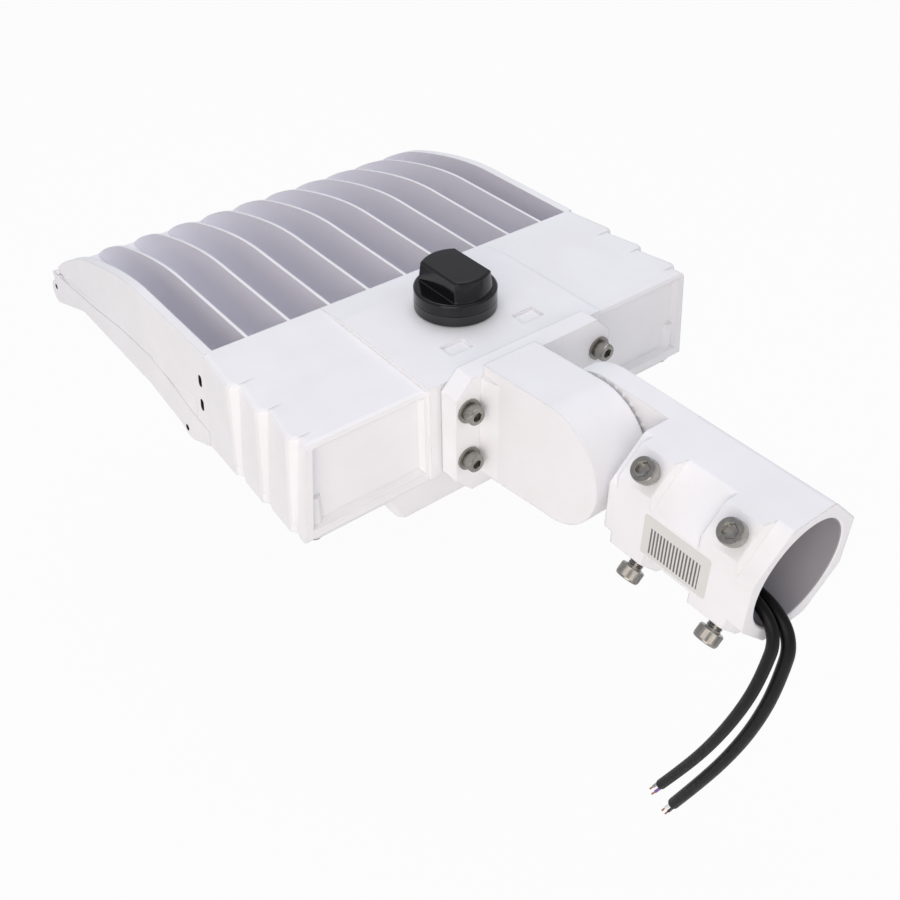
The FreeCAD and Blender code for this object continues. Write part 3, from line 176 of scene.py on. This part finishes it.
def powder_coat(name, edge_mm=1.4, paint_shade=None, holes=()):
    """Polyester powder coat: satin, near white, with slight clouding and an orange peel.

    A function may be given to paint shade into the colour; the holes are painted near black
    inside, as shade.
    """
    mat, tree = blank(name)
    place = add(tree, "TexCoord")
    cloud = add(tree, "TexNoise", {"Scale": 1.0 / CLOUD_WIDE, "Detail": 3.0},
                {"Vector": (place, "Object")})
    shade = add(tree, "ValToRGB", (), {"Fac": (cloud, "Fac")})
    shade.color_ramp.elements[0].position, shade.color_ramp.elements[1].position = 0.35, 0.7
    shade.color_ramp.elements[0].color = tone("F3F3F4")
    shade.color_ramp.elements[1].color = tone("F7F7F9")
    colour = (shade, "Color")
    # painted shade: grey tints in the fin channels or the bore, near black in the holes
    if paint_shade:
        colour = paint_shade(tree, place, colour)
    for hole in holes:
        colour = paint_hole_shade(tree, place, colour, *hole)
    fine = add(tree, "TexNoise", {"Scale": 1.0 / PEEL_WIDE, "Detail": 2.0,
                                  "Roughness": 0.45}, {"Vector": (place, "Object")})
    soft = add(tree, "Bevel", {"samples": 6, "Radius": edge_mm * MM})
    bump = add(tree, "Bump", {"Strength": 0.6, "Distance": PEEL_DEEP},
               {"Height": (fine, "Fac"), "Normal": (soft, "Normal")})
    gloss = add(tree, "MapRange", {"To Min": FILM_ROUGH[0], "To Max": FILM_ROUGH[1]},
                {"Value": (cloud, "Fac")})
    film = add(tree, "BsdfPrincipled", {"IOR": 1.49, "Specular IOR Level": 0.45},
               {"Base Color": colour, "Roughness": (gloss, "Result"),
                "Normal": (bump, "Normal")})
    add(tree, "OutputMaterial", (), {"Surface": (film, 0)})
    return mat


FINS_FROM = 369.4 * MM      # the channels start at the driver box's front wall
FINS_IN = 169.8 * MM        # and lie inside the head's side walls
FINS_TOP, FINS_LOW = 16.0 * MM, -39.0 * MM
BORE_EDGE = 36.4 * MM       # the fitter's bore, and how far it goes in
BORE_END = 98.5 * MM


def product(tree, masks):
    """Product of masks given as (node, output)."""
    made = masks[0]
    for mask in masks[1:]:
        made = (add(tree, "Math", {"operation": "MULTIPLY"}, {0: made, 1: mask}), 0)
    return made


def test(tree, sign, source, edge):
    """1 where the source is greater or less than the edge, else 0."""
    return (add(tree, "Math", {"operation": sign, 1: edge}, {0: source}), 0)


def tint(tree, mask, colour, other):
    """The colour, with another (a tone or a node's output) where the mask is 1."""
    settings, links = {"data_type": "RGBA"}, {0: mask, 6: colour}
    (links if len(other) == 2 else settings)[7] = other
    return (add(tree, "Mix", settings, links), 2)


def paint_channel_shade(tree, place, colour):
    """Painted shade: grey lilac on the fins' sides and below them, paler towards the heat plate.
    """
    where = add(tree, "SeparateXYZ", (), {0: (place, "Object")})
    facing = add(tree, "SeparateXYZ", (), {0: (place, "Normal")})
    across = add(tree, "Math", {"operation": "ABSOLUTE"}, {0: (where, "X")})
    side = add(tree, "Math", {"operation": "ABSOLUTE"}, {0: (facing, "X")})
    steep = test(tree, "GREATER_THAN", (side, 0), 0.7)
    low = test(tree, "LESS_THAN", (where, "Z"), FINS_LOW)
    any_of = (add(tree, "Math", {"operation": "MAXIMUM"}, {0: steep, 1: low}), 0)
    mask = product(tree, [any_of, test(tree, "LESS_THAN", (across, 0), FINS_IN),
                          test(tree, "GREATER_THAN", (where, "Y"), FINS_FROM)])
    depth = add(tree, "MapRange", {"From Min": FINS_TOP, "From Max": FINS_LOW},
                {"Value": (where, "Z")})
    fade = add(tree, "ValToRGB", (), {"Fac": (depth, "Result")})
    # painted shade colours: darker at the fins' tops, paler lower down
    fade.color_ramp.elements[0].color = tone("DCDAE1")
    fade.color_ramp.elements[1].color = tone("F6F5FA")
    return tint(tree, mask, colour, (fade, "Color"))


def paint_bore_shade(tree, place, colour):
    """Painted shade: grey inside the tenon socket, out to the bore's edge and end."""
    where = add(tree, "SeparateXYZ", (), {0: (place, "Object")})
    flat = add(tree, "CombineXYZ", (), {0: (where, "X"), 2: (where, "Z")})
    radius = add(tree, "VectorMath", {"operation": "LENGTH"}, {0: (flat, 0)})
    mask = product(tree, [test(tree, "LESS_THAN", (radius, "Value"), BORE_EDGE),
                          test(tree, "LESS_THAN", (where, "Y"), BORE_END)])
    # grey painted shade inside the bore
    return tint(tree, mask, colour, tone("A9A8AE"))


def paint_hole_shade(tree, place, colour, y, z, radius, tall):
    """Painted shade: near black within a radius of the upright segment of length tall through (y,
    z).
    """
    where = add(tree, "SeparateXYZ", (), {0: (place, "Object")})
    off_y = add(tree, "Math", {"operation": "SUBTRACT", 1: y}, {0: (where, "Y")})
    off_z = add(tree, "Math", {"operation": "SUBTRACT", 1: z}, {0: (where, "Z")})
    high = add(tree, "Math", {"operation": "ABSOLUTE"}, {0: (off_z, 0)})
    past = add(tree, "Math", {"operation": "SUBTRACT", 1: tall / 2.0}, {0: (high, 0)})
    past = add(tree, "Math", {"operation": "MAXIMUM", 1: 0.0}, {0: (past, 0)})
    gap = add(tree, "CombineXYZ", (), {0: (off_y, 0), 1: (past, 0)})
    gap = add(tree, "VectorMath", {"operation": "LENGTH"}, {0: (gap, 0)})
    across = add(tree, "Math", {"operation": "ABSOLUTE"}, {0: (where, "X")})
    mask = product(tree, [test(tree, "LESS_THAN", (gap, "Value"), radius),
                          test(tree, "GREATER_THAN", (across, 0), OUTER_WALL)])
    # near black painted shade inside the slot or hole
    return tint(tree, mask, colour, tone("26262A"))


def dress(names, mat):
    """Give CAD nodes one material in every slot."""
    for name in names:
        mesh = frame["nodes"][name].data
        if not mesh.materials:
            mesh.materials.append(mat)
        for k in range(len(mesh.materials)):
            mesh.materials[k] = mat


# the fitter's bore gets painted grey shade
dress(["slip_fitter"], powder_coat("powder coat fitter", paint_shade=paint_bore_shade))
dress(["arm"], powder_coat("powder coat arm"))
# the body gets painted shade in the fin channels and near black painted shade in the drain slots
dress(["housing"], powder_coat("powder coat body", edge_mm=1.1, paint_shade=paint_channel_shade,
                               holes=[(SLOT_Y, z, SLOT_R, SLOT_TALL) for z in SLOT_Z]))
dress(["box_cover"], powder_coat("powder coat cover"))
# the lens frame gets near black painted shade in its lug holes
dress(["optic_frame"], powder_coat("powder coat lens frame", edge_mm=1.0,
                                   holes=[(y, LUG_HOLE_Z, LUG_HOLE_R, 0.0)
                                          for y in LUG_HOLE_Y]))

# ---- Socket screws ---------------------------------------------------------------------
# Four M10 set bolts clamp the pole tenon and four M8 screws hold the arm to the lamp body.
# They are cold-headed stainless socket screws: rolled thread, straight knurl, hexagon key.


def bright_steel(name, colour="B2B0AA", rough=0.20, grain_mm=0.35):
    """Rolled stainless steel, tumbled: bright, slightly warm, with fine scratches."""
    mat, tree = blank(name)
    place = add(tree, "TexCoord")
    grain = add(tree, "TexNoise", {"Scale": 1.0 / (grain_mm * MM), "Detail": 3.0},
                {"Vector": (place, "Object")})
    blot = add(tree, "TexNoise", {"Scale": 1.0 / (4.0 * MM), "Detail": 2.0},
               {"Vector": (place, "Object")})
    rub = add(tree, "MapRange", {"To Min": rough - 0.06, "To Max": rough + 0.12},
              {"Value": (blot, "Fac")})
    shade = add(tree, "ValToRGB", (), {"Fac": (blot, "Fac")})
    shade.color_ramp.elements[0].color = tone("85837E")
    shade.color_ramp.elements[1].color = tone(colour)
    bump = add(tree, "Bump", {"Strength": 0.3, "Distance": 0.01 * MM}, {"Height": (grain, "Fac")})
    metal = add(tree, "BsdfPrincipled", {"Metallic": 1.0},
                {"Base Color": (shade, "Color"), "Roughness": (rub, "Result"),
                 "Normal": (bump, "Normal")})
    add(tree, "OutputMaterial", (), {"Surface": (metal, 0)})
    return mat


def shell(name, points, body, mat, closed_v=True):
    """Mesh of a two-parameter grid of points (rows, columns, 3); columns wrap round if closed."""
    rows, columns = points.shape[:2]
    i, j = np.meshgrid(np.arange(rows - 1), np.arange(columns if closed_v else columns - 1),
                       indexing="ij")
    k = (j + 1) % columns
    quads = np.stack([i * columns + j, i * columns + k, (i + 1) * columns + k,
                      (i + 1) * columns + j], axis=-1).reshape(-1, 4)
    mesh = bpy.data.meshes.new(name)
    mesh.from_pydata(points.reshape(-1, 3).tolist(), [], quads.tolist())
    work = bmesh.new()
    work.from_mesh(mesh)
    bmesh.ops.remove_doubles(work, verts=work.verts, dist=1e-6)
    bmesh.ops.recalc_face_normals(work, faces=work.faces)
    work.to_mesh(mesh)
    work.free()
    mesh.materials.append(mat)
    piece = bpy.data.objects.new(name, mesh)
    bpy.context.scene.collection.objects.link(piece)
    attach(piece, body)
    return piece


def turned(radius, along, base, axis):
    """Points base + axis*s + r*(cos a, sin a) across the axis; radius is (rows, angles)."""
    axis = Vector(axis).normalized()
    side = axis.orthogonal().normalized()
    other = axis.cross(side)
    a = np.linspace(0, 2 * math.pi, radius.shape[1], endpoint=False)
    round_ = np.outer(np.cos(a), side) + np.outer(np.sin(a), other)
    return (np.array(base) + along[:, None, None] * np.array(axis)
            + radius[:, :, None] * round_[None])


KNURLS = 48
ANGLES = 2 * KNURLS


def socket_screw(base, axis, below, r, pitch, head_r, head, key, key_deep):
    """Screw radius R(s, a): tip, thread r - h*tri(s/p - a/2pi), knurled head, key socket."""
    a = np.linspace(0, 2 * math.pi, ANGLES, endpoint=False)
    s = np.arange(-below + 0.6 * pitch, -0.4 * pitch, pitch / 4.0)
    wave = np.abs(2 * np.mod(s[:, None] / pitch - a / (2 * math.pi), 1.0) - 1)
    thread = r - 0.61 * pitch * wave
    knurl = head_r - 0.02 * head_r * (np.arange(ANGLES) % 2)
    sector = np.mod(a + math.pi / 6, math.pi / 3) - math.pi / 6
    hexagon = key / 2.0 / np.cos(sector)
    ring = np.ones(ANGLES)
    rows = [(0 * ring, -below), ((r - 0.7 * pitch) * ring, -below)]
    rows += list(zip(thread, s))
    rows += [(r * ring, -0.3 * pitch), (r * ring, 0.0), ((head_r - 0.5 * MM) * ring, 0.0),
             (head_r * 0.985 * ring, 0.4 * MM), (knurl, 0.7 * MM), (knurl, head - 1.5 * MM),
             (head_r * 0.975 * ring, head - 1.2 * MM), (head_r * 0.965 * ring, head - 0.5 * MM),
             ((head_r - 0.8 * MM) * ring, head), (hexagon * 1.09, head),
             (hexagon, head - 0.35 * MM), (hexagon, head - key_deep),
             (0 * ring, head - key_deep - 0.8 * MM)]
    radius = np.array([row[0] for row in rows])
    along = np.array([row[1] for row in rows])
    return turned(radius, along, base, axis)


screw_steel = bright_steel("stainless screws")
M10 = {"r": 5.0 * MM, "pitch": 1.5 * MM, "head_r": 7.8 * MM, "head": 8.2 * MM,
       "key": 8.0 * MM, "key_deep": 4.5 * MM}
M8 = {"r": 4.0 * MM, "pitch": 1.25 * MM, "head_r": 6.5 * MM, "head": 8.0 * MM,
      "key": 6.0 * MM, "key_deep": 4.0 * MM}
CORNER_R = 61.0 * MM / math.sqrt(2.0)       # bore axis to the fitter's chamfered corners
SET_SEAT = CORNER_R + 10.8 * MM
SET_TIP = 34.5 * MM
SET_ROWS = {"upper": 135.0, "lower": 225.0}
SET_PLACES = {"rear": 21.0 * MM, "front": 83.0 * MM}
bodies = frame["record"]["behaviour"]["bodies"]
for row, angle in SET_ROWS.items():
    out = Vector((math.cos(math.radians(angle)), 0.0, math.sin(math.radians(angle))))
    for place, y in SET_PLACES.items():
        cad = "tenon_bolt_%s_%s" % (row, place)
        points = socket_screw(out * SET_SEAT + Vector((0, y, 0)), out, SET_SEAT - SET_TIP, **M10)
        bolt = shell("set_bolt_%s_%s" % (row, place), points,
                     next(body for body, nodes in bodies.items() if cad in nodes), screw_steel)
        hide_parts(cad)

FLANGE_SEAT_Y = 217.4 * MM
FLANGE_SHANK = 30.6 * MM
FLANGE_PLACES = [(x * MM, z * MM) for x in (-58.0, 58.0) for z in (9.0, -31.0)]
for k, (x, z) in enumerate(FLANGE_PLACES):
    points = socket_screw((x, FLANGE_SEAT_Y, z), (0, -1, 0), FLANGE_SHANK, **M8)
    bolt = shell("flange_screw_%d" % (k + 1), points, "head", screw_steel)
    if k == 0:
        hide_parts("flange_bolts")
dress(["flange_washers", "cover_screws", "frame_screws", "pivot_bolt", "pivot_washer"],
      bright_steel("stainless washers", "A9A7A1", 0.34))

# ---- Leads and their bushing -----------------------------------------------------------
# Two round flexible leads, the thicker for supply and the thinner for dimming, leave a
# moulded rubber bushing at the back of the tenon socket and hang out of its mouth.


def rubber(name, colour="101011", rough=0.5, grain_mm=0.6, dust="1C1C1E", shine=0.5):
    """Moulded or extruded rubber: near black, half matt, with a little bloom on it."""
    mat, tree = blank(name)
    place = add(tree, "TexCoord")
    bloom = add(tree, "TexNoise", {"Scale": 1.0 / (9.0 * MM), "Detail": 4.0},
                {"Vector": (place, "Object")})
    shade = add(tree, "ValToRGB", (), {"Fac": (bloom, "Fac")})
    shade.color_ramp.elements[0].position, shade.color_ramp.elements[1].position = 0.4, 0.8
    shade.color_ramp.elements[0].color = tone(colour)
    shade.color_ramp.elements[1].color = tone(dust)
    fine = add(tree, "TexNoise", {"Scale": 1.0 / (grain_mm * MM), "Detail": 2.0},
               {"Vector": (place, "Object")})
    gloss = add(tree, "MapRange", {"To Min": rough - 0.06, "To Max": rough + 0.08},
                {"Value": (bloom, "Fac")})
    bump = add(tree, "Bump", {"Strength": 0.5, "Distance": 0.03 * MM},
               {"Height": (fine, "Fac")})
    skin = add(tree, "BsdfPrincipled", {"IOR": 1.5, "Specular IOR Level": shine},
               {"Base Color": (shade, "Color"), "Roughness": (gloss, "Result"),
                "Normal": (bump, "Normal")})
    add(tree, "OutputMaterial", (), {"Surface": (skin, 0)})
    return mat


def lead(name, route_mm, diameter, jacket, cad):
    """A smooth cord: NURBS spline of order 3 on the route's points, with a round bevel."""
    curve = bpy.data.curves.new(name, "CURVE")
    curve.dimensions = "3D"
    spline = curve.splines.new("NURBS")
    spline.points.add(len(route_mm) - 1)
    for point, (x, y, z) in zip(spline.points, route_mm):
        point.co = (x * MM, y * MM, z * MM, 1.0)
    spline.order_u = 3
    spline.use_endpoint_u = True
    spline.resolution_u = 24
    curve.bevel_depth = diameter / 2.0
    curve.bevel_resolution = 8
    curve.use_fill_caps = True
    curve.materials.append(jacket)
    piece = bpy.data.objects.new(name, curve)
    bpy.context.scene.collection.objects.link(piece)
    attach(piece, "fitter")
    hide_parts(cad)
    return piece


CORE_SIDES = 28
CORE_LONG = 22.0 * MM       # the longest stripped core, past the jacket's end
CORE_STEP = 3.0 * MM        # each next core is this much shorter
CORE_BACK = 4.0 * MM        # it starts this far inside the jacket
CORE_R = 1.1 * MM
BARE_LONG = 7.0 * MM        # length of the bare strands
STRANDS = 7
STRAND_R, STRAND_HIGH = 0.62 * MM, 0.09 * MM
STRAND_LAY = 14.0 * MM


def insulation(name, code):
    """Soft vinyl of a core, slightly clouded."""
    mat, tree = blank(name)
    place = add(tree, "TexCoord")
    cloud = add(tree, "TexNoise", {"Scale": 1.0 / (3.0 * MM)}, {"Vector": (place, "Object")})
    shade = add(tree, "ValToRGB", (), {"Fac": (cloud, "Fac")})
    shade.color_ramp.elements[0].color = tone(code)
    paler = [min(1.0, 1.2 * c + 0.01) for c in tone(code)[:3]]
    shade.color_ramp.elements[1].color = (*paler, 1.0)
    film = add(tree, "BsdfPrincipled", {"IOR": 1.5, "Roughness": 0.42},
               {"Base Color": (shade, "Color")})
    add(tree, "OutputMaterial", (), {"Surface": (film, 0)})
    return mat


def cores(name, route_mm, lead_diameter, colours, cad):
    """Stripped cores: insulation r(s), then thinner twisted strands r + h*cos 7(a + ks)."""
    end, before = (Vector(route_mm[k]) * MM for k in (-1, -2))
    along = (end - before).normalized()
    side = along.cross(Vector((1, 0, 0))).normalized()
    other = along.cross(side)
    a = np.linspace(0, 2 * math.pi, CORE_SIDES, endpoint=False)
    pieces = []
    for k, code in enumerate(colours):
        turn = 2 * math.pi * k / len(colours)
        foot = end + (side * math.cos(turn) + other * math.sin(turn)) * lead_diameter / 4.0
        long = CORE_LONG - CORE_STEP * k
        bare = long - BARE_LONG
        cover_s = np.array([-CORE_BACK, -CORE_BACK, bare - 0.2 * MM, bare, bare])
        cover_r = np.array([0.0, CORE_R, CORE_R, CORE_R - 0.15 * MM, 0.0])
        pieces.append(shell("%s_core_%d" % (name, k + 1),
                            turned(cover_r[:, None] * np.ones(CORE_SIDES), cover_s, foot, along),
                            "fitter", insulation("core insulation %s %d" % (name, k + 1), code)))
        s = np.linspace(bare - 1.0 * MM, long, 15)
        twist = 2 * math.pi / STRAND_LAY
        strand_r = STRAND_R + STRAND_HIGH * np.cos(STRANDS * (a + twist * s[:, None]))
        strand_r = np.vstack([0 * a, strand_r, 0 * a])
        s = np.concatenate([s[:1], s, s[-1:]])
        pieces.append(shell("%s_strands_%d" % (name, k + 1),
                            turned(strand_r, s, foot, along), "fitter", copper))
    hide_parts(cad)
    return pieces


copper, tree = blank("tinned copper strands")
place = add(tree, "TexCoord")
dull = add(tree, "TexNoise", {"Scale": 1.0 / (1.5 * MM)}, {"Vector": (place, "Object")})
shade = add(tree, "ValToRGB", (), {"Fac": (dull, "Fac")})
shade.color_ramp.elements[0].color = tone("B5764E")
shade.color_ramp.elements[1].color = tone("D69A6E")
bright = add(tree, "BsdfPrincipled", {"Metallic": 1.0, "Roughness": 0.32},
             {"Base Color": (shade, "Color")})
add(tree, "OutputMaterial", (), {"Surface": (bright, 0)})

SUPPLY_D, DIMMING_D = 8.4 * MM, 7.4 * MM
SUPPLY_ROUTE = ((10.0, 94.0, -8.0), (10.0, 66.0, -10.0), (-6.0, 39.0, -21.0),
                (-12.0, -14.0, -24.5), (-12.0, -13.0, -79.0), (-12.0, -7.0, -122.0),
                (-11.0, 4.0, -168.0), (-10.0, 20.0, -220.0), (-9.0, 37.0, -270.0))
DIMMING_ROUTE = ((0.5, 94.0, -8.0), (0.3, 68.0, -9.0), (-15.0, 39.0, -16.0),
                 (-21.2, -9.5, -19.5), (-21.2, -6.5, -71.0), (-21.0, 1.0, -112.0),
                 (-20.0, 14.0, -160.0), (-19.0, 29.0, -204.0), (-18.0, 45.0, -246.0))
jacket = rubber("oil-proof lead jacket", "060607", rough=0.40, grain_mm=0.9, dust="0C0C0D",
                shine=0.22)
supply = lead("supply_cord", SUPPLY_ROUTE, SUPPLY_D, jacket, "supply_lead")
dimming = lead("dimming_cord", DIMMING_ROUTE, DIMMING_D, jacket, "dimming_lead")
supply_ends = cores("supply", SUPPLY_ROUTE, SUPPLY_D, ("141414", "E9E8E4", "2F7A46"),
                    "supply_cores")
dimming_ends = cores("dimming", DIMMING_ROUTE, DIMMING_D, ("7A4C9A", "8E9094"),
                     "dimming_cores")
dress(["lead_bushing"], rubber("bushing rubber", "17171A", rough=0.6))
dress(["flange_gasket"],
      rubber("gasket sheet", "C4C4C6", rough=0.75, grain_mm=0.5, dust="CECED0"))
dress(["cover_seal", "lens_seal", "socket_seal"],
      rubber("silicone seal", "8A8C8F", rough=0.6, grain_mm=0.5, dust="9A9C9F"))

# ---- Twist-lock control socket and shorting cap ----------------------------------------
# A glass-filled polycarbonate socket with a black shorting cap pushed in and twisted. Both
# are injection moulded; the cap is polished to a deep gloss, with a wide bar to grip it by.


def moulded(name, colour, rough, grain_mm, depth_mm, edge_mm=0.35, shine=0.5):
    """Moulded plastic: even colour, gloss from the tool's polish, rounded arrises."""
    mat, tree = blank(name)
    place = add(tree, "TexCoord")
    flow = add(tree, "TexNoise", {"Scale": 1.0 / (14 * MM), "Detail": 2.0},
               {"Vector": (place, "Object")})
    grain = add(tree, "TexNoise", {"Scale": 1.0 / (grain_mm * MM), "Detail": 2.0},
                {"Vector": (place, "Object")})
    shade = add(tree, "ValToRGB", (), {"Fac": (flow, "Fac")})
    shade.color_ramp.elements[0].color = tone(colour)
    shade.color_ramp.elements[1].color = tuple(1.15 * c for c in tone(colour)[:3]) + (1.0,)
    gloss = add(tree, "MapRange", {"To Min": rough, "To Max": rough + 0.08},
                {"Value": (flow, "Fac")})
    soft = add(tree, "Bevel", {"samples": 8, "Radius": edge_mm * MM})
    bump = add(tree, "Bump", {"Strength": 0.4, "Distance": depth_mm * MM},
               {"Height": (grain, "Fac"), "Normal": (soft, "Normal")})
    skin = add(tree, "BsdfPrincipled", {"IOR": 1.58, "Specular IOR Level": shine},
               {"Base Color": (shade, "Color"), "Roughness": (gloss, "Result"),
                "Normal": (bump, "Normal")})
    add(tree, "OutputMaterial", (), {"Surface": (skin, 0)})
    return mat


dress(["shorting_cap"],
      moulded("polished polycarbonate", "060608", rough=0.09, grain_mm=4.0, depth_mm=0.008,
              edge_mm=1.2, shine=0.36))
dress(["control_socket"],
      moulded("socket polycarbonate", "121214", rough=0.22, grain_mm=1.0, depth_mm=0.010))
dress(["terminal_block", "surge_protector", "vent_plug"],
      moulded("grey polyamide", "55585B", rough=0.45, grain_mm=0.8, depth_mm=0.02))
dress(["cap_blades"], bright_steel("nickel-plated brass", "CDB26C", 0.25))

# ---- Light engine ----------------------------------------------------------------------
# Eighty mid-power LEDs on a white board lie against the heat plate, under a clear moulded
# lens plate with one small dome for each LED, sealed by a silicone ring inside the frame.

mask_white, tree = blank("white solder mask")
place = add(tree, "TexCoord")
cloud = add(tree, "TexNoise", {"Scale": 1.0 / (6.0 * MM)}, {"Vector": (place, "Object")})
shade = add(tree, "ValToRGB", (), {"Fac": (cloud, "Fac")})
shade.color_ramp.elements[0].color = tone("E4E6E4")
shade.color_ramp.elements[1].color = tone("F0F1EF")
ink = add(tree, "BsdfPrincipled", {"IOR": 1.5, "Roughness": 0.3}, {"Base Color": (shade, 0)})
add(tree, "OutputMaterial", (), {"Surface": (ink, 0)})
dress(["led_board"], mask_white)

phosphor, tree = blank("phosphor silicone")
place = add(tree, "TexCoord")
cloud = add(tree, "TexNoise", {"Scale": 1.0 / (0.4 * MM)}, {"Vector": (place, "Object")})
shade = add(tree, "ValToRGB", (), {"Fac": (cloud, "Fac")})
shade.color_ramp.elements[0].color = tone("E8C93A")
shade.color_ramp.elements[1].color = tone("F2DC62")
gel = add(tree, "BsdfPrincipled", {"IOR": 1.41, "Roughness": 0.25}, {"Base Color": (shade, 0)})
add(tree, "OutputMaterial", (), {"Surface": (gel, 0)})
dress(["led_chips"], phosphor)

clear, tree = blank("clear moulded polycarbonate")
place = add(tree, "TexCoord")
wave = add(tree, "TexNoise", {"Scale": 1.0 / (18.0 * MM)}, {"Vector": (place, "Object")})
bump = add(tree, "Bump", {"Strength": 0.3, "Distance": 0.02 * MM}, {"Height": (wave, "Fac")})
body = add(tree, "BsdfPrincipled", {"IOR": 1.58, "Roughness": 0.04, "Base Color": tone("F4F7F8"),
                                    "Transmission Weight": 1.0}, {"Normal": (bump, "Normal")})
add(tree, "OutputMaterial", (), {"Surface": (body, 0)})
LENS_X = 156.0 * MM
LENS_Y = (388.0 * MM, 642.0 * MM)
LENS_LOW, LENS_TOP = -51.5 * MM, -48.5 * MM
CHIP_STEP = 27.0 * MM
CHIP_COLS, CHIP_ROWS = 10, 8
DOME_R, DOME_HIGH = 9.5 * MM, 4.6 * MM


def lens_plate():
    """Lower face z = low - h*(1 - (d/R)^2)^1.5 around each LED, upper face flat."""
    x = np.linspace(-LENS_X, LENS_X, 209)
    y = np.linspace(LENS_Y[0], LENS_Y[1], 171)
    middle = sum(LENS_Y) / 2.0
    X, Y = np.meshgrid(x, y)
    u = np.mod(X / CHIP_STEP, 1.0) - 0.5
    v = np.mod((Y - middle) / CHIP_STEP, 1.0) - 0.5
    d2 = (u * u + v * v) * CHIP_STEP ** 2 / DOME_R ** 2
    dome = DOME_HIGH * np.clip(1 - d2, 0, 1) ** 1.5
    dome *= np.abs(X) < CHIP_COLS / 2 * CHIP_STEP
    dome *= np.abs(Y - middle) < CHIP_ROWS / 2 * CHIP_STEP
    low = np.stack([X, Y, LENS_LOW - dome], axis=-1)
    top = np.stack([X, Y, np.full_like(X, LENS_TOP)], axis=-1)
    rows, columns = X.shape
    i, j = np.meshgrid(np.arange(rows - 1), np.arange(columns - 1), indexing="ij")
    a = (i * columns + j).ravel()
    quads = np.stack([a, a + columns, a + columns + 1, a + 1], axis=-1)
    corner = rows * columns + np.arange(4)
    ring = np.concatenate([np.arange(columns), np.arange(2, rows + 1) * columns - 1,
                           rows * columns - 2 - np.arange(columns - 1),
                           np.arange(rows - 2, 0, -1) * columns])
    points = np.vstack([low.reshape(-1, 3), top[[0, 0, -1, -1], [0, -1, -1, 0]]])
    faces = quads.tolist() + [corner.tolist()]
    marks = [0, columns - 1, columns + rows - 2, 2 * columns + rows - 3, len(ring)]
    loop = np.append(ring, ring[0])
    for k in range(4):
        edge = loop[marks[k]:marks[k + 1] + 1].tolist()
        faces.append(edge[::-1] + [int(corner[k]), int(corner[(k + 1) % 4])])
    mesh = bpy.data.meshes.new("domed_lens")
    mesh.from_pydata(points.tolist(), [], faces)
    mesh.materials.append(clear)
    for polygon in mesh.polygons[:len(quads)]:
        polygon.use_smooth = True
    piece = bpy.data.objects.new("domed_lens", mesh)
    bpy.context.scene.collection.objects.link(piece)
    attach(piece, "head")
    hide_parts("lens_plate")
    return piece


lens_plate()

# ---- Driver ----------------------------------------------------------------------------
# A potted LED driver in a drawn aluminium can is screwed up inside the box, beside the
# terminals and the surge protector. It is out of sight under the cover.

dress(["led_driver"], bright_steel("drawn aluminium can", "C4C6C8", 0.4, 0.6))

# ---- Blank label on the fitter ---------------------------------------------------------
# A polyester film label is stuck to the fitter's flat side, between the set bolts' pads.
# It carries only even bars that stand for nothing.

LABEL_Y = (27.6 * MM, 76.6 * MM)
LABEL_Z = (-15.6 * MM, 15.0 * MM)
LABEL_CORNER = 2.0 * MM
FLAT_X = 43.0 * MM
FILM = 0.12 * MM


def label(mat):
    """Rounded rectangle of half sides a, b and corner c: (a - c + c cos t, b - c + c sin t)."""
    half = np.array([LABEL_Y[1] - LABEL_Y[0], LABEL_Z[1] - LABEL_Z[0]]) / 2.0
    quarter = np.linspace(0, math.pi / 2, 6)
    t = np.concatenate([quarter + k * math.pi / 2 for k in range(4)])
    arc = np.stack([np.cos(t), np.sin(t)], axis=-1)
    corner = np.repeat([(1, 1), (-1, 1), (-1, -1), (1, -1)], len(quarter), axis=0)
    flat = (half - LABEL_CORNER) * corner + LABEL_CORNER * arc
    middle = np.array([sum(LABEL_Y), sum(LABEL_Z)]) / 2.0
    rows = []
    for lift, share in ((0.01 * MM, 0.0), (0.01 * MM, 1.0), (FILM, 1.0), (FILM, 0.0)):
        edge = middle + share * flat
        rows.append(np.column_stack([np.full(len(t), -FLAT_X - lift), edge]))
    return shell("side_label", np.array(rows), "fitter", mat)


film, tree = blank("printed polyester film")
place = add(tree, "TexCoord")
where = add(tree, "SeparateXYZ", (), {0: (place, "Object")})
BAR_PITCH = 2.4 * MM
BARS_Y, BARS_Z = (34.0 * MM, 71.5 * MM), (-12.5 * MM, 7.0 * MM)
phase = add(tree, "Math", {"operation": "MULTIPLY", 1: 1.0 / BAR_PITCH}, {0: (where, "Y")})
share = add(tree, "Math", {"operation": "FRACT"}, {0: (phase, 0)})
bar = add(tree, "Math", {"operation": "LESS_THAN", 1: 0.5}, {0: (share, 0)})
mark = product(tree, [(bar, 0)] + [test(tree, sign, (where, axis), edge)
                                   for axis, edges in (("Y", BARS_Y), ("Z", BARS_Z))
                                   for sign, edge in zip(("GREATER_THAN", "LESS_THAN"), edges)])
printed = add(tree, "Mix", {"data_type": "RGBA", 6: tone("DEDFDB"), 7: tone("6B6A68")},
              {0: mark})
gloss = add(tree, "MapRange", {"To Min": 0.32, "To Max": 0.5}, {"Value": mark})
sheet_film = add(tree, "BsdfPrincipled", {"IOR": 1.5},
                 {"Base Color": (printed, 2), "Roughness": (gloss, "Result")})
add(tree, "OutputMaterial", (), {"Surface": (sheet_film, 0)})
label(film)

size = {"cad": [list(c) for c in CAD_BOX], "visual": [list(c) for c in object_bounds()]}
